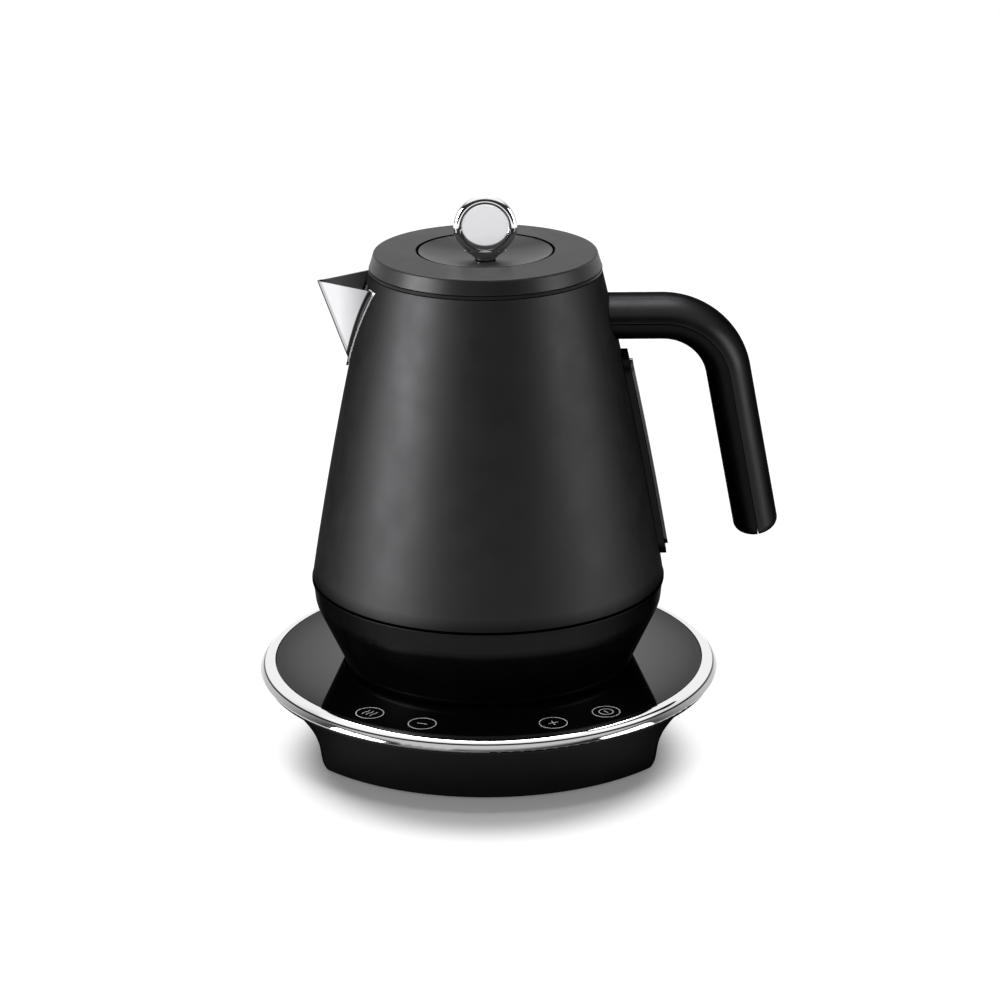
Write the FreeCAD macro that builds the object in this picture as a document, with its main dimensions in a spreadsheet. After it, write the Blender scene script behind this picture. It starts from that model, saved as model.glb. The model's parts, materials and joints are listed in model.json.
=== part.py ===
"""Cordless electric kettle with a short V-shaped spout, on a round power base with touch keys.

The origin is on the kettle's axis at floor level. +Z is up, the handle points to +X, the spout to
-X and the touch keys to -Y. Lengths are in millimetres and angles in degrees.
"""
import FreeCAD, Part
import math
import os
import re
import Sketcher

SIZES = {
    # Power base: feet, glass and ring
    "base_height": 30.2,
    "foot_proud": 1.0,
    "foot_radius": 59.0,
    "foot_width": 6.0,
    "foot_sink": 1.2,
    "glass_radius": 100.0,
    "glass_thickness": 4.0,
    "glass_bevel": 0.4,
    "gasket_thickness": 1.2,
    "gasket_width": 2.4,
    "gasket_inset": 1.0,
    "ring_fit": 0.2,
    "ring_width": 6.9,
    "ring_land": 0.6,
    "ring_belly_drop": 4.0,
    "ring_foot_inset": 0.9,
    # Power base: housing
    "deck_inset": 1.9,
    "deck_thickness": 1.7,
    "pedestal_radius": 100.25,
    "pedestal_flare": 2.8,
    "pedestal_half_width": 74.0,
    "pedestal_taper": 2.2,
    "side_flare_radius": 16.0,
    "pedestal_corner_radius": 6.0,
    "housing_wall": 2.2,
    "cover_thickness": 2.6,
    "cover_fit": 0.3,
    "base_boss_x": 62.0,
    "base_boss_y": 60.0,
    "boss_radius": 4.2,
    "cord_notch_width": 8.0,
    "cord_notch_height": 9.0,
    # Fasteners, all of one kind
    "screw_radius": 1.5,
    "screw_head_radius": 2.8,
    "screw_head_height": 1.6,
    "screw_length": 9.0,
    "screw_fit": 0.15,
    # Connector between base and kettle
    "post_radius": 19.8,
    "post_height": 9.0,
    "post_bevel": 1.2,
    "post_depth": 9.0,
    "post_flange_width": 7.0,
    "post_flange_thickness": 3.0,
    "post_hole_gap": 0.7,
    "outer_slot_radius": 13.0,
    "inner_slot_radius": 6.8,
    "slot_width": 3.0,
    "slot_depth": 20.0,
    "contact_wall": 0.5,
    "contact_drop": 2.0,
    "contact_gap": 0.35,
    "blade_thickness": 1.2,
    "blade_length": 8.0,
    "pin_radius": 1.6,
    "socket_gap": 0.5,
    "socket_wall": 4.0,
    "socket_lift": 0.7,
    "socket_roof_gap": 1.0,
    "socket_roof": 3.0,
    # Electronics in the base
    "key_circle_radius": 90.0,
    "key_inner_angle": 19.0,
    "key_outer_angle": 36.3,
    "pad_radius": 5.5,
    "pad_fit": 0.5,
    "board_inner_radius": 78.0,
    "board_outer_radius": 97.0,
    "board_half_angle": 41.0,
    "board_thickness": 1.6,
    "board_drop": 1.4,
    "standoff_radius": 2.5,
    "standoff_angle": 9.5,
    "display_length": 26.0,
    "display_width": 11.0,
    "power_board_length": 70.0,
    "power_board_width": 46.0,
    "power_board_y": 62.0,
    "power_board_lift": 5.0,
    "relay_length": 20.0,
    "relay_width": 16.0,
    "relay_height": 9.0,
    "terminal_length": 18.0,
    "terminal_width": 12.0,
    "terminal_height": 8.0,
    "component_offset": 16.0,
    # Kettle: skirt and its cover
    "rest_gap": 0.3,
    "skirt_height": 40.4,
    "skirt_overhang": 0.4,
    "skirt_lip_height": 1.0,
    "skirt_lip_proud": 0.5,
    "skirt_band_inset": 1.4,
    "skirt_band_height": 9.4,
    "skirt_shoulder_radius": 16.0,
    "skirt_shoulder_drop": 5.2,
    "skirt_shoulder_inset": 1.8,
    "skirt_foot_inset": 12.3,
    "skirt_foot_round": 3.2,
    "skirt_wall": 2.2,
    "skirt_rim_width": 3.6,
    "skirt_ledge_width": 3.0,
    "skirt_ledge_height": 2.0,
    "kettle_cover_lift": 1.0,
    "kettle_cover_thickness": 2.4,
    "lug_radius": 4.4,
    "lug_height": 9.0,
    # Kettle: body
    "seam_gap": 1.1,
    "body_height": 144.2,
    "body_bottom_radius": 81.5,
    "body_top_radius": 52.8,
    "body_swell": 1.38,
    "body_wall": 1.0,
    "neck_step": 2.9,
    "neck_height": 8.5,
    "neck_fit": 0.2,
    "collar_gap": 0.4,
    "collar_band": 1.3,
    "collar_depth": 4.0,
    "collar_wall": 1.5,
    "mouth_radius": 48.2,
    # Kettle: heater and control
    "seal_thickness": 1.5,
    "seal_lip": 1.4,
    "plate_thickness": 1.2,
    "plate_drop": 0.5,
    "spreader_radius": 60.0,
    "spreader_thickness": 4.0,
    "element_radius": 46.0,
    "element_tube_radius": 3.5,
    "element_sink": 1.5,
    "element_gap_angle": 40.0,
    "cold_pin_angle": 2.0,
    "terminal_pin_radius": 1.6,
    "terminal_pin_length": 9.0,
    "probe_radius": 3.0,
    "probe_offset": 28.0,
    "probe_rise": 7.0,
    "probe_flange_width": 3.0,
    "probe_flange_thickness": 1.0,
    "probe_seal_thickness": 1.2,
    "probe_fit": 0.4,
    "control_radius": 23.0,
    "control_height": 12.0,
    "control_gap": 0.4,
    "control_post_radius": 3.4,
    "control_post_circle": 17.0,
    # Spout and filter
    "spout_reach": 76.2,
    "spout_drop": 4.6,
    "spout_half_angle": 38.0,
    "spout_lean": 13.6,
    "spout_depth": 37.8,
    "spout_nose_radius": 2.5,
    "spout_sheet": 1.0,
    "spout_half_width": 18.8,
    "flange_width": 3.4,
    "flange_proud": 1.2,
    "flange_corner": 3.0,
    "flange_rim_corner": 1.2,
    "surface_fit": 0.1,
    "opening_inset": 2.0,
    "holder_margin": 4.0,
    "holder_thickness": 1.6,
    "filter_clearance": 0.4,
    "filter_thickness": 2.2,
    "filter_band": 2.4,
    "filter_drop": 3.0,
    "mesh_thickness": 0.6,
    "mesh_seat": 1.2,
    "mesh_hole_radius": 0.9,
    "mesh_pitch": 3.0,
    "bead_radius": 1.7,
    "bead_length": 12.0,
    # Handle
    "handle_drop": 21.9,
    "handle_reach": 105.6,
    "handle_leg": 103.4,
    "handle_tilt": 10.6,
    "handle_bend_radius": 30.9,
    "handle_thickness": 20.5,
    "handle_width": 30.0,
    "handle_wall": 2.6,
    "handle_end_round": 4.0,
    "handle_seam": 0.4,
    "bracket_length": 21.0,
    "bracket_fit": 0.2,
    "handle_screw_inset": 6.0,
    "handle_screw_pitch": 9.0,
    # Water gauge
    "gauge_half_width": 9.5,
    "gauge_top_drop": 37.8,
    "gauge_length": 98.2,
    "gauge_frame_proud": 3.0,
    "gauge_end_round": 2.6,
    "gauge_end_clear": 0.5,
    "gauge_window_half_width": 5.0,
    "gauge_window_inset": 4.4,
    "gauge_window_proud": 4.4,
    "gauge_window_fit": 0.15,
    "gauge_slot_half_width": 2.5,
    "gauge_seal_thickness": 0.6,
    # Lid
    "lid_gap": 0.4,
    "lid_rim_height": 6.6,
    "lid_rim_radius": 52.6,
    "lid_edge_radius": 50.8,
    "lid_edge_round": 0.9,
    "lid_crown": 0.7,
    "lid_wall": 2.0,
    "insert_radius": 31.1,
    "insert_fit": 0.45,
    "insert_depth": 5.0,
    "insert_thickness": 1.2,
    "liner_lift": 0.3,
    "liner_wall": 1.5,
    "liner_flange_radius": 49.8,
    "liner_radius": 46.0,
    "liner_depth": 5.4,
    "lid_seal_gap": 0.3,
    "lid_seal_height": 3.0,
    "lid_screw_circle": 38.0,
    "knob_radius": 14.4,
    "knob_rim_radius": 2.5,
    "knob_web": 4.2,
    "knob_rise": 11.5,
    "knob_neck_half_width": 4.4,
    "knob_neck_half_depth": 3.2,
    "knob_neck_spread": 9.4,
}

# Lengths and places worked out from the sizes
DERIVED = {
    "glass_bottom": "base_height - glass_thickness",
    "deck_top": "glass_bottom - gasket_thickness",
    "deck_bottom": "deck_top - deck_thickness",
    "ring_inner": "glass_radius + ring_fit",
    "ring_outer": "ring_inner + ring_width",
    "ring_crown": "((ring_width - ring_land) ^ 2 + ring_belly_drop ^ 2) / (2 * ring_belly_drop)",
    "deck_radius": "ring_outer - deck_inset",
    "flare_x": "pedestal_half_width + pedestal_taper + side_flare_radius",
    "flare_z": "deck_bottom - side_flare_radius",
    "cover_top": "foot_proud + cover_thickness",
    "pedestal_slope": "pedestal_flare / (deck_bottom - foot_proud)",
    "post_top": "base_height + post_height",
    "post_bottom": "deck_bottom - post_depth",
    "slot_floor": "post_top - slot_depth",
    "flange_radius": "post_radius + post_flange_width",
    "post_hole": "post_radius + post_hole_gap",
    "center_slot_radius": "pin_radius + contact_gap + contact_wall",
    "board_top": "deck_bottom - board_drop",
    "power_board_top": "cover_top + power_board_lift + board_thickness",
    "kettle_floor": "base_height + rest_gap",
    "socket_radius": "post_radius + socket_gap",
    "connector_radius": "socket_radius + socket_wall",
    "socket_bottom": "kettle_floor + socket_lift",
    "socket_ceiling": "post_top + socket_roof_gap",
    "connector_top": "socket_ceiling + socket_roof",
    "skirt_top": "kettle_floor + skirt_height",
    "band_bottom": "skirt_top - skirt_band_height",
    "skirt_lip_radius": "body_bottom_radius + skirt_overhang",
    "skirt_band_radius": "skirt_lip_radius - skirt_band_inset",
    "skirt_foot_radius": "skirt_band_radius - skirt_foot_inset",
    "skirt_bore": "skirt_foot_radius - skirt_foot_round - skirt_rim_width",
    "cover_seat": "kettle_floor + kettle_cover_lift + kettle_cover_thickness",
    "ledge_top": "cover_seat + skirt_ledge_height",
    "lug_circle": "skirt_bore - skirt_ledge_width",
    "control_screw_length": "spreader_bottom - control_bottom - screw_head_height + spreader_thickness / 2",
    "body_bottom": "skirt_top + seam_gap",
    "body_top": "body_bottom + body_height",
    "body_run": "body_bottom_radius - body_top_radius",
    "body_chord": "sqrt(body_run ^ 2 + body_height ^ 2)",
    "body_sagitta": "body_swell * body_height / body_chord",
    "body_arc": "body_chord ^ 2 / (8 * body_sagitta) + body_sagitta / 2",
    "neck_outer": "body_bottom_radius - neck_step",
    "neck_inner": "neck_outer - body_wall",
    "neck_bottom": "body_bottom - neck_height",
    "collar_bottom": "body_top + collar_gap",
    "collar_top": "collar_bottom + collar_band",
    "plate_top": "body_bottom - plate_drop",
    "plate_bottom": "plate_top - plate_thickness",
    "plate_radius": "neck_inner - neck_fit - seal_thickness",
    "spreader_bottom": "plate_bottom - spreader_thickness",
    "element_z": "spreader_bottom - element_tube_radius + element_sink",
    "control_bottom": "connector_top + control_gap",
    "control_top": "control_bottom + control_height",
    "spout_top": "body_top - spout_drop",
    "spout_bottom": "spout_top - spout_depth",
    "holder_outer": "body_wall + surface_fit",
    "holder_inner": "holder_outer + holder_thickness",
    "filter_outer": "holder_inner + filter_clearance",
    "filter_inner": "filter_outer + filter_thickness",
    "mesh_outer": "filter_outer + (filter_thickness - mesh_thickness) / 2",
    "mesh_inner": "mesh_outer + mesh_thickness",
    "filter_top": "spout_top - filter_drop",
    "bead_z": "spout_bottom - bead_radius - filter_band",
    "handle_z": "body_top - handle_drop",
    "handle_tangent": "handle_bend_radius * tan((90 - handle_tilt) / 2)",
    "gauge_top": "body_top - gauge_top_drop",
    "gauge_bottom": "gauge_top - gauge_length",
    "window_top": "gauge_top - gauge_window_inset",
    "window_bottom": "gauge_bottom + gauge_window_inset",
    "slot_inset": "gauge_window_half_width - gauge_slot_half_width",
    "lid_rim_bottom": "collar_top + lid_gap",
    "lid_edge_z": "lid_rim_bottom + lid_rim_height",
    "lid_top": "lid_edge_z + lid_crown",
    "insert_hole": "insert_radius + insert_fit",
    "dish_arc": "(insert_radius ^ 2 + insert_depth ^ 2) / (2 * insert_depth)",
    "dish_top": "lid_top - insert_depth",
    "dish_seat": "dish_top - insert_thickness",
    "dish_under": "dish_seat - lid_wall",
    "neck_hole": "knob_neck_half_width + insert_fit",
    "liner_flange_bottom": "collar_top + liner_lift",
    "liner_flange_top": "liner_flange_bottom + liner_wall",
    "liner_bottom": "collar_top - liner_depth",
    "liner_floor": "liner_bottom + liner_wall",
    "cap_under": "lid_edge_z - lid_wall",
    "knob_z": "lid_edge_z + knob_rise",
    "knob_major": "knob_radius - knob_rim_radius",
}

# Where along the pedestal's flare its plan is drawn, as shares of the flare's turn
FLARE_SHARES = (0, 0.3, 0.55, 0.8, 1)
LUG_ANGLES = (45, 135, 225, 315)
CONTROL_POST_ANGLES = (30, 150, 270)
LID_BOSS_ANGLES = (90, 210, 330)
# The knob's neck: share of its height, and share of its spread reached there
NECK_LEVELS = ((0, 0), (0.3, 0.02), (0.62, 0.3), (1.15, 1))
HANDLE_SCREWS = 2
FRONT = 270

WORD = re.compile(r"[a-z][a-z_0-9]*")
PIECES = []
TURN_TO = {
    "Z": FreeCAD.Rotation(),
    "Y": FreeCAD.Rotation(FreeCAD.Vector(1, 0, 0), -90),
    "X": FreeCAD.Rotation(FreeCAD.Vector(0, 1, 0), 90),
    "cross": FreeCAD.Rotation(FreeCAD.Vector(1, 1, 1), 120),
}

doc = FreeCAD.newDocument("kettle")
sheet = doc.addObject("Spreadsheet::Sheet", "Sizes")
for row, (alias, size) in enumerate(SIZES.items(), start=1):
    sheet.set(f"A{row}", alias)
    sheet.set(f"B{row}", str(size))
    sheet.setAlias(f"B{row}", alias)
doc.recompute()


def formula(text):
    """The expression with derived lengths written out and each size given as its cell."""

    def spell(match):
        word = match.group()
        if word in DERIVED:
            return f"({formula(DERIVED[word])})"
        return f"Sizes.{word}" if word in SIZES else word

    return WORD.sub(spell, str(text))


def number(text):
    """The present value of an expression."""
    return float(sheet.evalExpression(formula(text)))


def place(thing, x="0", y="0", z="0", turn="Z"):
    """Put an object at bound coordinates, with its own Z axis along the named direction."""
    thing.Placement = FreeCAD.Placement(FreeCAD.Vector(), TURN_TO[turn])
    for name, text in zip("xyz", (x, y, z)):
        thing.setExpression(f"Placement.Base.{name}", formula(text))
    return thing


def finished(thing, label):
    """Name an object as one of the kettle's pieces."""
    thing.Label = label
    PIECES.append(thing)
    return thing


def outline(sketch, points):
    """Draw a closed outline of bound points; a third value is the radius of the edge that follows.

    The edges run anticlockwise round their centre where that radius is positive.
    """
    spots = [FreeCAD.Vector(number(point[0]), number(point[1]), 0) for point in points]
    ends = []
    for index, point in enumerate(points):
        here = spots[index]
        there = spots[(index + 1) % len(points)]
        if len(point) == 2:
            sketch.addGeometry(Part.LineSegment(here, there), False)
            ends.append((1, 2))
            continue
        radius = number(point[2])
        chord = there - here
        reach = math.sqrt(max(radius ** 2 - chord.Length ** 2 / 4, 0.0))
        side = math.copysign(reach, radius)
        normal = FreeCAD.Vector(-chord.y, chord.x, 0).normalize()
        centre = here + chord * 0.5 + normal * side
        first, last = (here, there) if radius > 0 else (there, here)
        start = math.atan2(first.y - centre.y, first.x - centre.x)
        stop = math.atan2(last.y - centre.y, last.x - centre.x)
        circle = Part.Circle(centre, FreeCAD.Vector(0, 0, 1), abs(radius))
        sketch.addGeometry(Part.ArcOfCircle(circle, start, stop), False)
        ends.append((1, 2) if radius > 0 else (2, 1))
    for index, point in enumerate(points):
        following = (index + 1) % len(points)
        joint = ("Coincident", index, ends[index][1], following, ends[following][0])
        sketch.addConstraint(Sketcher.Constraint(*joint))
        for kind, text, value in zip(("DistanceX", "DistanceY"), point, spots[index]):
            pin = Sketcher.Constraint(kind, -1, 1, index, ends[index][0], value)
            key = sketch.addConstraint(pin)
            sketch.setExpression(f"Constraints[{key}]", formula(text))
        if len(point) == 3:
            key = sketch.addConstraint(Sketcher.Constraint("Radius", index, abs(number(point[2]))))
            sketch.setExpression(f"Constraints[{key}]", formula(f"abs({point[2]})"))
    return sketch


def body_sketch(body, role, points, lift="0"):
    """A sketch on one of the body's own planes, raised along that plane's normal."""
    plane = next(item for item in body.Origin.OriginFeatures if item.Role == role)
    sketch = body.newObject("Sketcher::SketchObject", f"{body.Name}_sketch")
    sketch.AttachmentSupport = [(plane, "")]
    sketch.MapMode = "FlatFace"
    sketch.setExpression("AttachmentOffset.Base.z", formula(lift))
    return outline(sketch, points)


def turned(label, points):
    """A solid of revolution about the kettle's axis; the points are radius and height."""
    body = doc.addObject("PartDesign::Body", label)
    sketch = body_sketch(body, "XZ_Plane", points)
    turn = body.newObject("PartDesign::Revolution", f"{label}_turn")
    turn.Profile = sketch
    turn.ReferenceAxis = (sketch, ["V_Axis"])
    turn.Angle = 360
    return body


def ring(label, inner, outer, low, high):
    """A plain ring about the kettle's axis."""
    return turned(label, [(inner, low), (outer, low), (outer, high), (inner, high)])


def padded(label, role, points, length, lift="0", reverse=False):
    """A prism on one of the three planes."""
    body = doc.addObject("PartDesign::Body", label)
    pad = body.newObject("PartDesign::Pad", f"{label}_pad")
    pad.Profile = body_sketch(body, role, points, lift)
    pad.setExpression("Length", formula(length))
    pad.Reversed = reverse
    return body


def cylinder(label, radius, height, x="0", y="0", z="0", turn="Z"):
    rod = doc.addObject("Part::Cylinder", label)
    rod.setExpression("Radius", formula(radius))
    rod.setExpression("Height", formula(height))
    return place(rod, x, y, z, turn)


def block(label, length, width, height, x, y, z):
    """A box centred on x and y, standing on z."""
    brick = doc.addObject("Part::Box", label)
    brick.setExpression("Length", formula(length))
    brick.setExpression("Width", formula(width))
    brick.setExpression("Height", formula(height))
    return place(brick, f"{x} - ({length}) / 2", f"{y} - ({width}) / 2", z)


def fused(label, *things):
    union = doc.addObject("Part::MultiFuse", label)
    union.Shapes = list(things)
    return union


def cut(label, base, *tools):
    """The base less each tool in turn."""
    for tool in tools:
        rest = doc.addObject("Part::Cut", label)
        rest.Base = base
        rest.Tool = tool
        base = rest
    return base


def shared(label, base, tool):
    overlap = doc.addObject("Part::Common", label)
    overlap.Base = base
    overlap.Tool = tool
    return overlap


def grouped(label, things):
    """Separate solids kept in one node."""
    compound = doc.addObject("Part::Compound", label)
    compound.Links = list(things)
    return compound


def screw(label, x, y, z, length="screw_length"):
    """A screw that points up, with the lower face of its head at z."""
    head = cylinder(f"{label}_head", "screw_head_radius", "screw_head_height", x, y, z)
    shank_z = f"{z} + screw_head_height"
    shank = cylinder(f"{label}_shank", "screw_radius", length, x, y, shank_z)
    return fused(label, head, shank)


def screw_hole(label, x, y, z, length="screw_length"):
    """The clearance for a screw: a bore for the shank and a pocket for the head."""
    pocket_radius = "screw_head_radius + screw_fit"
    head = cylinder(f"{label}_pocket", pocket_radius, "2 * screw_head_height",
                    x, y, f"{z} - screw_head_height")
    shank = cylinder(f"{label}_bore", "screw_radius + screw_fit", f"{length} + screw_fit",
                     x, y, f"{z} + screw_head_height")
    return fused(label, head, shank)


def polar(radius, angle):
    """Coordinates on a circle; the angle is measured from +X towards +Y."""
    return f"{radius} * cos({angle})", f"{radius} * sin({angle})"


def body_layer(label, inner, outer):
    """A sheet that follows the jug's outer surface, between two distances outside it."""
    return turned(label, [
        (f"body_bottom_radius + {inner}", "body_bottom"),
        (f"body_bottom_radius + {outer}", "body_bottom", "body_arc"),
        (f"body_top_radius + {outer}", "body_top"),
        (f"body_top_radius + {inner}", "body_top", "-body_arc"),
    ])


def body_core(label, outer):
    """The solid jug, grown by a distance."""
    return turned(label, [
        ("0", "body_bottom"),
        (f"body_bottom_radius + {outer}", "body_bottom", "body_arc"),
        (f"body_top_radius + {outer}", "body_top"),
        ("0", "body_top"),
    ])


def body_radius(z):
    """The jug's outer radius at a height."""
    share = f"((body_top - ({z})) / body_height)"
    swell = f"4 * body_swell * {share} * (1 - {share})"
    return f"(body_top_radius + body_run * {share} + {swell})"


def shield(half_width, top, bottom, corner):
    """A V-shaped outline with a level top and three rounded corners, on the YZ plane."""
    slope = f"atan(({top} - ({bottom})) / ({half_width}))"
    upper = f"(({corner}) / tan({slope} / 2))"
    lower = f"(({corner}) * tan({slope}))"
    side_x = f"({half_width} - {upper} * cos({slope}))"
    side_z = f"({top} - {upper} * sin({slope}))"
    foot_x = f"({lower} * cos({slope}))"
    foot_z = f"({bottom} + {lower} * sin({slope}))"
    top_x = f"({half_width} - {upper})"
    return [
        (foot_x, foot_z),
        (side_x, side_z, corner),
        (top_x, top),
        (f"-{top_x}", top, corner),
        (f"-{side_x}", side_z),
        (f"-{foot_x}", foot_z, corner),
    ]


def stadium(half_width, top, bottom):
    """An upright slot outline with round ends, on the YZ plane."""
    high = f"({top} - ({half_width}))"
    low = f"({bottom} + {half_width})"
    return [
        (half_width, low),
        (half_width, high, half_width),
        ("0", top, half_width),
        (f"-({half_width})", high),
        (f"-({half_width})", low, half_width),
        ("0", bottom, half_width),
    ]


def towards_spout(label, points):
    return padded(label, "YZ_Plane", points, "2 * spout_reach", reverse=True)


def towards_handle(label, points):
    return padded(label, "YZ_Plane", points, "2 * body_bottom_radius")


def pedestal_plan(half_width, radius, corner):
    """Plan of the pedestal: two arcs about the axis, two straight sides and rounded corners."""
    hub_x = f"({half_width} - ({corner}))"
    hub_y = f"sqrt(({radius} - ({corner})) ^ 2 - {hub_x} ^ 2)"
    grow = f"({radius}) / ({radius} - ({corner}))"
    arc_x = f"({hub_x} * {grow})"
    arc_y = f"({hub_y} * {grow})"
    return [
        (f"-{arc_x}", f"-{arc_y}", radius),
        (arc_x, f"-{arc_y}", corner),
        (half_width, f"-{hub_y}"),
        (half_width, hub_y, corner),
        (arc_x, arc_y, radius),
        (f"-{arc_x}", arc_y, corner),
        (f"-({half_width})", hub_y),
        (f"-({half_width})", f"-{hub_y}", corner),
    ]


def pedestal(label, inset):
    """The pedestal's form with its flared sides, drawn in by a wall."""
    body = doc.addObject("PartDesign::Body", label)
    flare = f"(side_flare_radius + {inset})"
    full_turn = f"asin(side_flare_radius / {flare})"
    corner = f"pedestal_corner_radius - {inset}"
    levels = [("foot_proud", f"pedestal_half_width - {inset}")]
    for share in FLARE_SHARES:
        angle = f"({share} * {full_turn})"
        levels.append((f"flare_z + {flare} * sin({angle})", f"flare_x - {flare} * cos({angle})"))
    sketches = []
    for z, half_width in levels:
        front = f"(pedestal_radius + pedestal_slope * ({z} - foot_proud) - {inset})"
        plan = pedestal_plan(f"({half_width})", front, corner)
        sketches.append(body_sketch(body, "XY_Plane", plan, z))
    loft = body.newObject("PartDesign::AdditiveLoft", f"{label}_loft")
    loft.Profile = sketches[0]
    loft.Sections = sketches[1:]
    return body


def make_base_housing():
    deck = cylinder("deck", "deck_radius", "deck_thickness", z="deck_bottom")
    form = fused("housing_form", pedestal("pedestal", "0"), deck)
    hollow = cut("housing_shell", form, pedestal("pedestal_hollow", "housing_wall"))
    posts = []
    holes = []
    for tag, x, y in base_corners():
        boss_height = "deck_bottom - cover_top"
        posts.append(cylinder(f"base_boss_{tag}", "boss_radius", boss_height, x, y, "cover_top"))
        holes.append(screw_hole(f"base_boss_hole_{tag}", x, y, "foot_proud"))
    for side in (-1, 1):
        x, y = polar("key_circle_radius", f"({FRONT} + {side} * (key_outer_angle - standoff_angle))")
        posts.append(cylinder(f"standoff_{side + 1}", "standoff_radius", "board_drop", x, y, "board_top"))
    for tag, x, y in touch_keys():
        holes.append(cylinder(f"pad_hole_{tag}", "pad_radius + pad_fit", "base_height", x, y, "board_top"))
    holes.append(block("display_slot", "display_length + 2 * pad_fit", "display_width + 2 * pad_fit",
                       "base_height", "0", "-key_circle_radius", "board_top"))
    holes.append(cylinder("deck_hole", "post_hole", "base_height", z="flare_z"))
    notch_round = "cord_notch_width / 2"
    notch_z = f"foot_proud + cord_notch_height - {notch_round}"
    notch_depth = "pedestal_radius / 3"
    notch_y = "pedestal_radius - housing_wall - cover_fit"
    holes.append(block("cord_notch", "cord_notch_width", notch_depth, f"{notch_z}", "0",
                       f"{notch_y} + {notch_depth} / 2", "0"))
    holes.append(cylinder("cord_notch_round", notch_round, notch_depth, y=notch_y, z=notch_z, turn="Y"))
    solid = fused("housing_solid", hollow, *posts)
    finished(cut("housing", solid, *holes), "base_housing")


def base_corners():
    """The four places where the base's cover is screwed on."""
    for across in (-1, 1):
        for along in (-1, 1):
            tag = f"{across + 1}{along + 1}"
            yield tag, f"{across} * base_boss_x", f"{along} * base_boss_y"


def touch_keys():
    """The four touch places, from left to right as seen from the front."""
    angles = ("-key_outer_angle", "-key_inner_angle", "key_inner_angle", "key_outer_angle")
    for tag, angle in zip("abcd", angles):
        x, y = polar("key_circle_radius", f"({FRONT} + {angle})")
        yield tag, x, y


def make_base_cover():
    inset = "(housing_wall + cover_fit)"
    plan = pedestal_plan(f"(pedestal_half_width - {inset})", f"(pedestal_radius - {inset})",
                         f"(pedestal_corner_radius - {inset})")
    plate = padded("cover_plate", "XY_Plane", plan, "cover_thickness", "foot_proud")
    posts = []
    for across in (-1, 1):
        for along in (-1, 1):
            x = f"{across} * (power_board_length / 2 - 2 * standoff_radius)"
            y = f"power_board_y + {along} * (power_board_width / 2 - 2 * standoff_radius)"
            posts.append(cylinder("board_post", "standoff_radius", "power_board_lift", x, y, "cover_top"))
    groove = ring("foot_groove", "foot_radius - foot_width / 2 - cover_fit / 3",
                  "foot_radius + foot_width / 2 + cover_fit / 3", "0", "foot_proud + foot_sink")
    holes = [screw_hole(f"cover_hole_{tag}", x, y, "foot_proud") for tag, x, y in base_corners()]
    finished(cut("cover", fused("cover_solid", plate, *posts), groove, *holes), "base_cover")
    foot = ring("foot", "foot_radius - foot_width / 2", "foot_radius + foot_width / 2",
                "0", "foot_proud + foot_sink")
    finished(foot, "foot_ring")
    screws = [screw(f"base_screw_{tag}", x, y, "foot_proud") for tag, x, y in base_corners()]
    finished(grouped("base_screw_set", screws), "base_screws")


def make_glass_and_ring():
    belly_z = "base_height - ring_belly_drop"
    trim = turned("trim", [
        ("ring_inner", "deck_top"),
        ("ring_outer - ring_foot_inset", "deck_top", "ring_belly_drop / 2"),
        ("ring_outer", belly_z, "ring_crown"),
        ("ring_inner + ring_land", "base_height"),
        ("ring_inner", "base_height"),
    ])
    finished(trim, "trim_ring")
    glass = turned("glass", [
        ("post_hole", "glass_bottom"),
        ("glass_radius", "glass_bottom"),
        ("glass_radius", "base_height - glass_bevel"),
        ("glass_radius - glass_bevel", "base_height"),
        ("post_hole", "base_height"),
    ])
    finished(glass, "glass_top")
    gasket_outer = "glass_radius - gasket_inset"
    gasket = ring("gasket", f"{gasket_outer} - gasket_width", gasket_outer, "deck_top", "glass_bottom")
    finished(gasket, "glass_gasket")


def slot_edge(slot, side):
    return f"{slot}_slot_radius + {side} * slot_width / 2"


def make_base_connector():
    flange_z = "deck_bottom - post_flange_thickness"
    points = [
        ("0", "post_bottom"),
        ("post_radius", "post_bottom"),
        ("post_radius", flange_z),
        ("flange_radius", flange_z),
        ("flange_radius", "deck_bottom"),
        ("post_radius", "deck_bottom"),
        ("post_radius", "post_top - post_bevel"),
        ("post_radius - post_bevel", "post_top"),
    ]
    sleeves = []
    for slot in ("outer", "inner"):
        near, far = slot_edge(slot, -1), slot_edge(slot, 1)
        points += [(far, "post_top"), (far, "slot_floor"), (near, "slot_floor"), (near, "post_top")]
        sleeves.append(ring(f"{slot}_sleeve", near, f"{near} + contact_wall",
                            "slot_floor", "post_top - contact_drop"))
    points += [("center_slot_radius", "post_top"), ("center_slot_radius", "slot_floor"), ("0", "slot_floor")]
    finished(turned("post", points), "base_connector")
    sleeves.append(ring("pin_sleeve", "center_slot_radius - contact_wall", "center_slot_radius",
                        "slot_floor", "post_top - contact_drop"))
    finished(grouped("sleeve_set", sleeves), "base_contacts")


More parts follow.
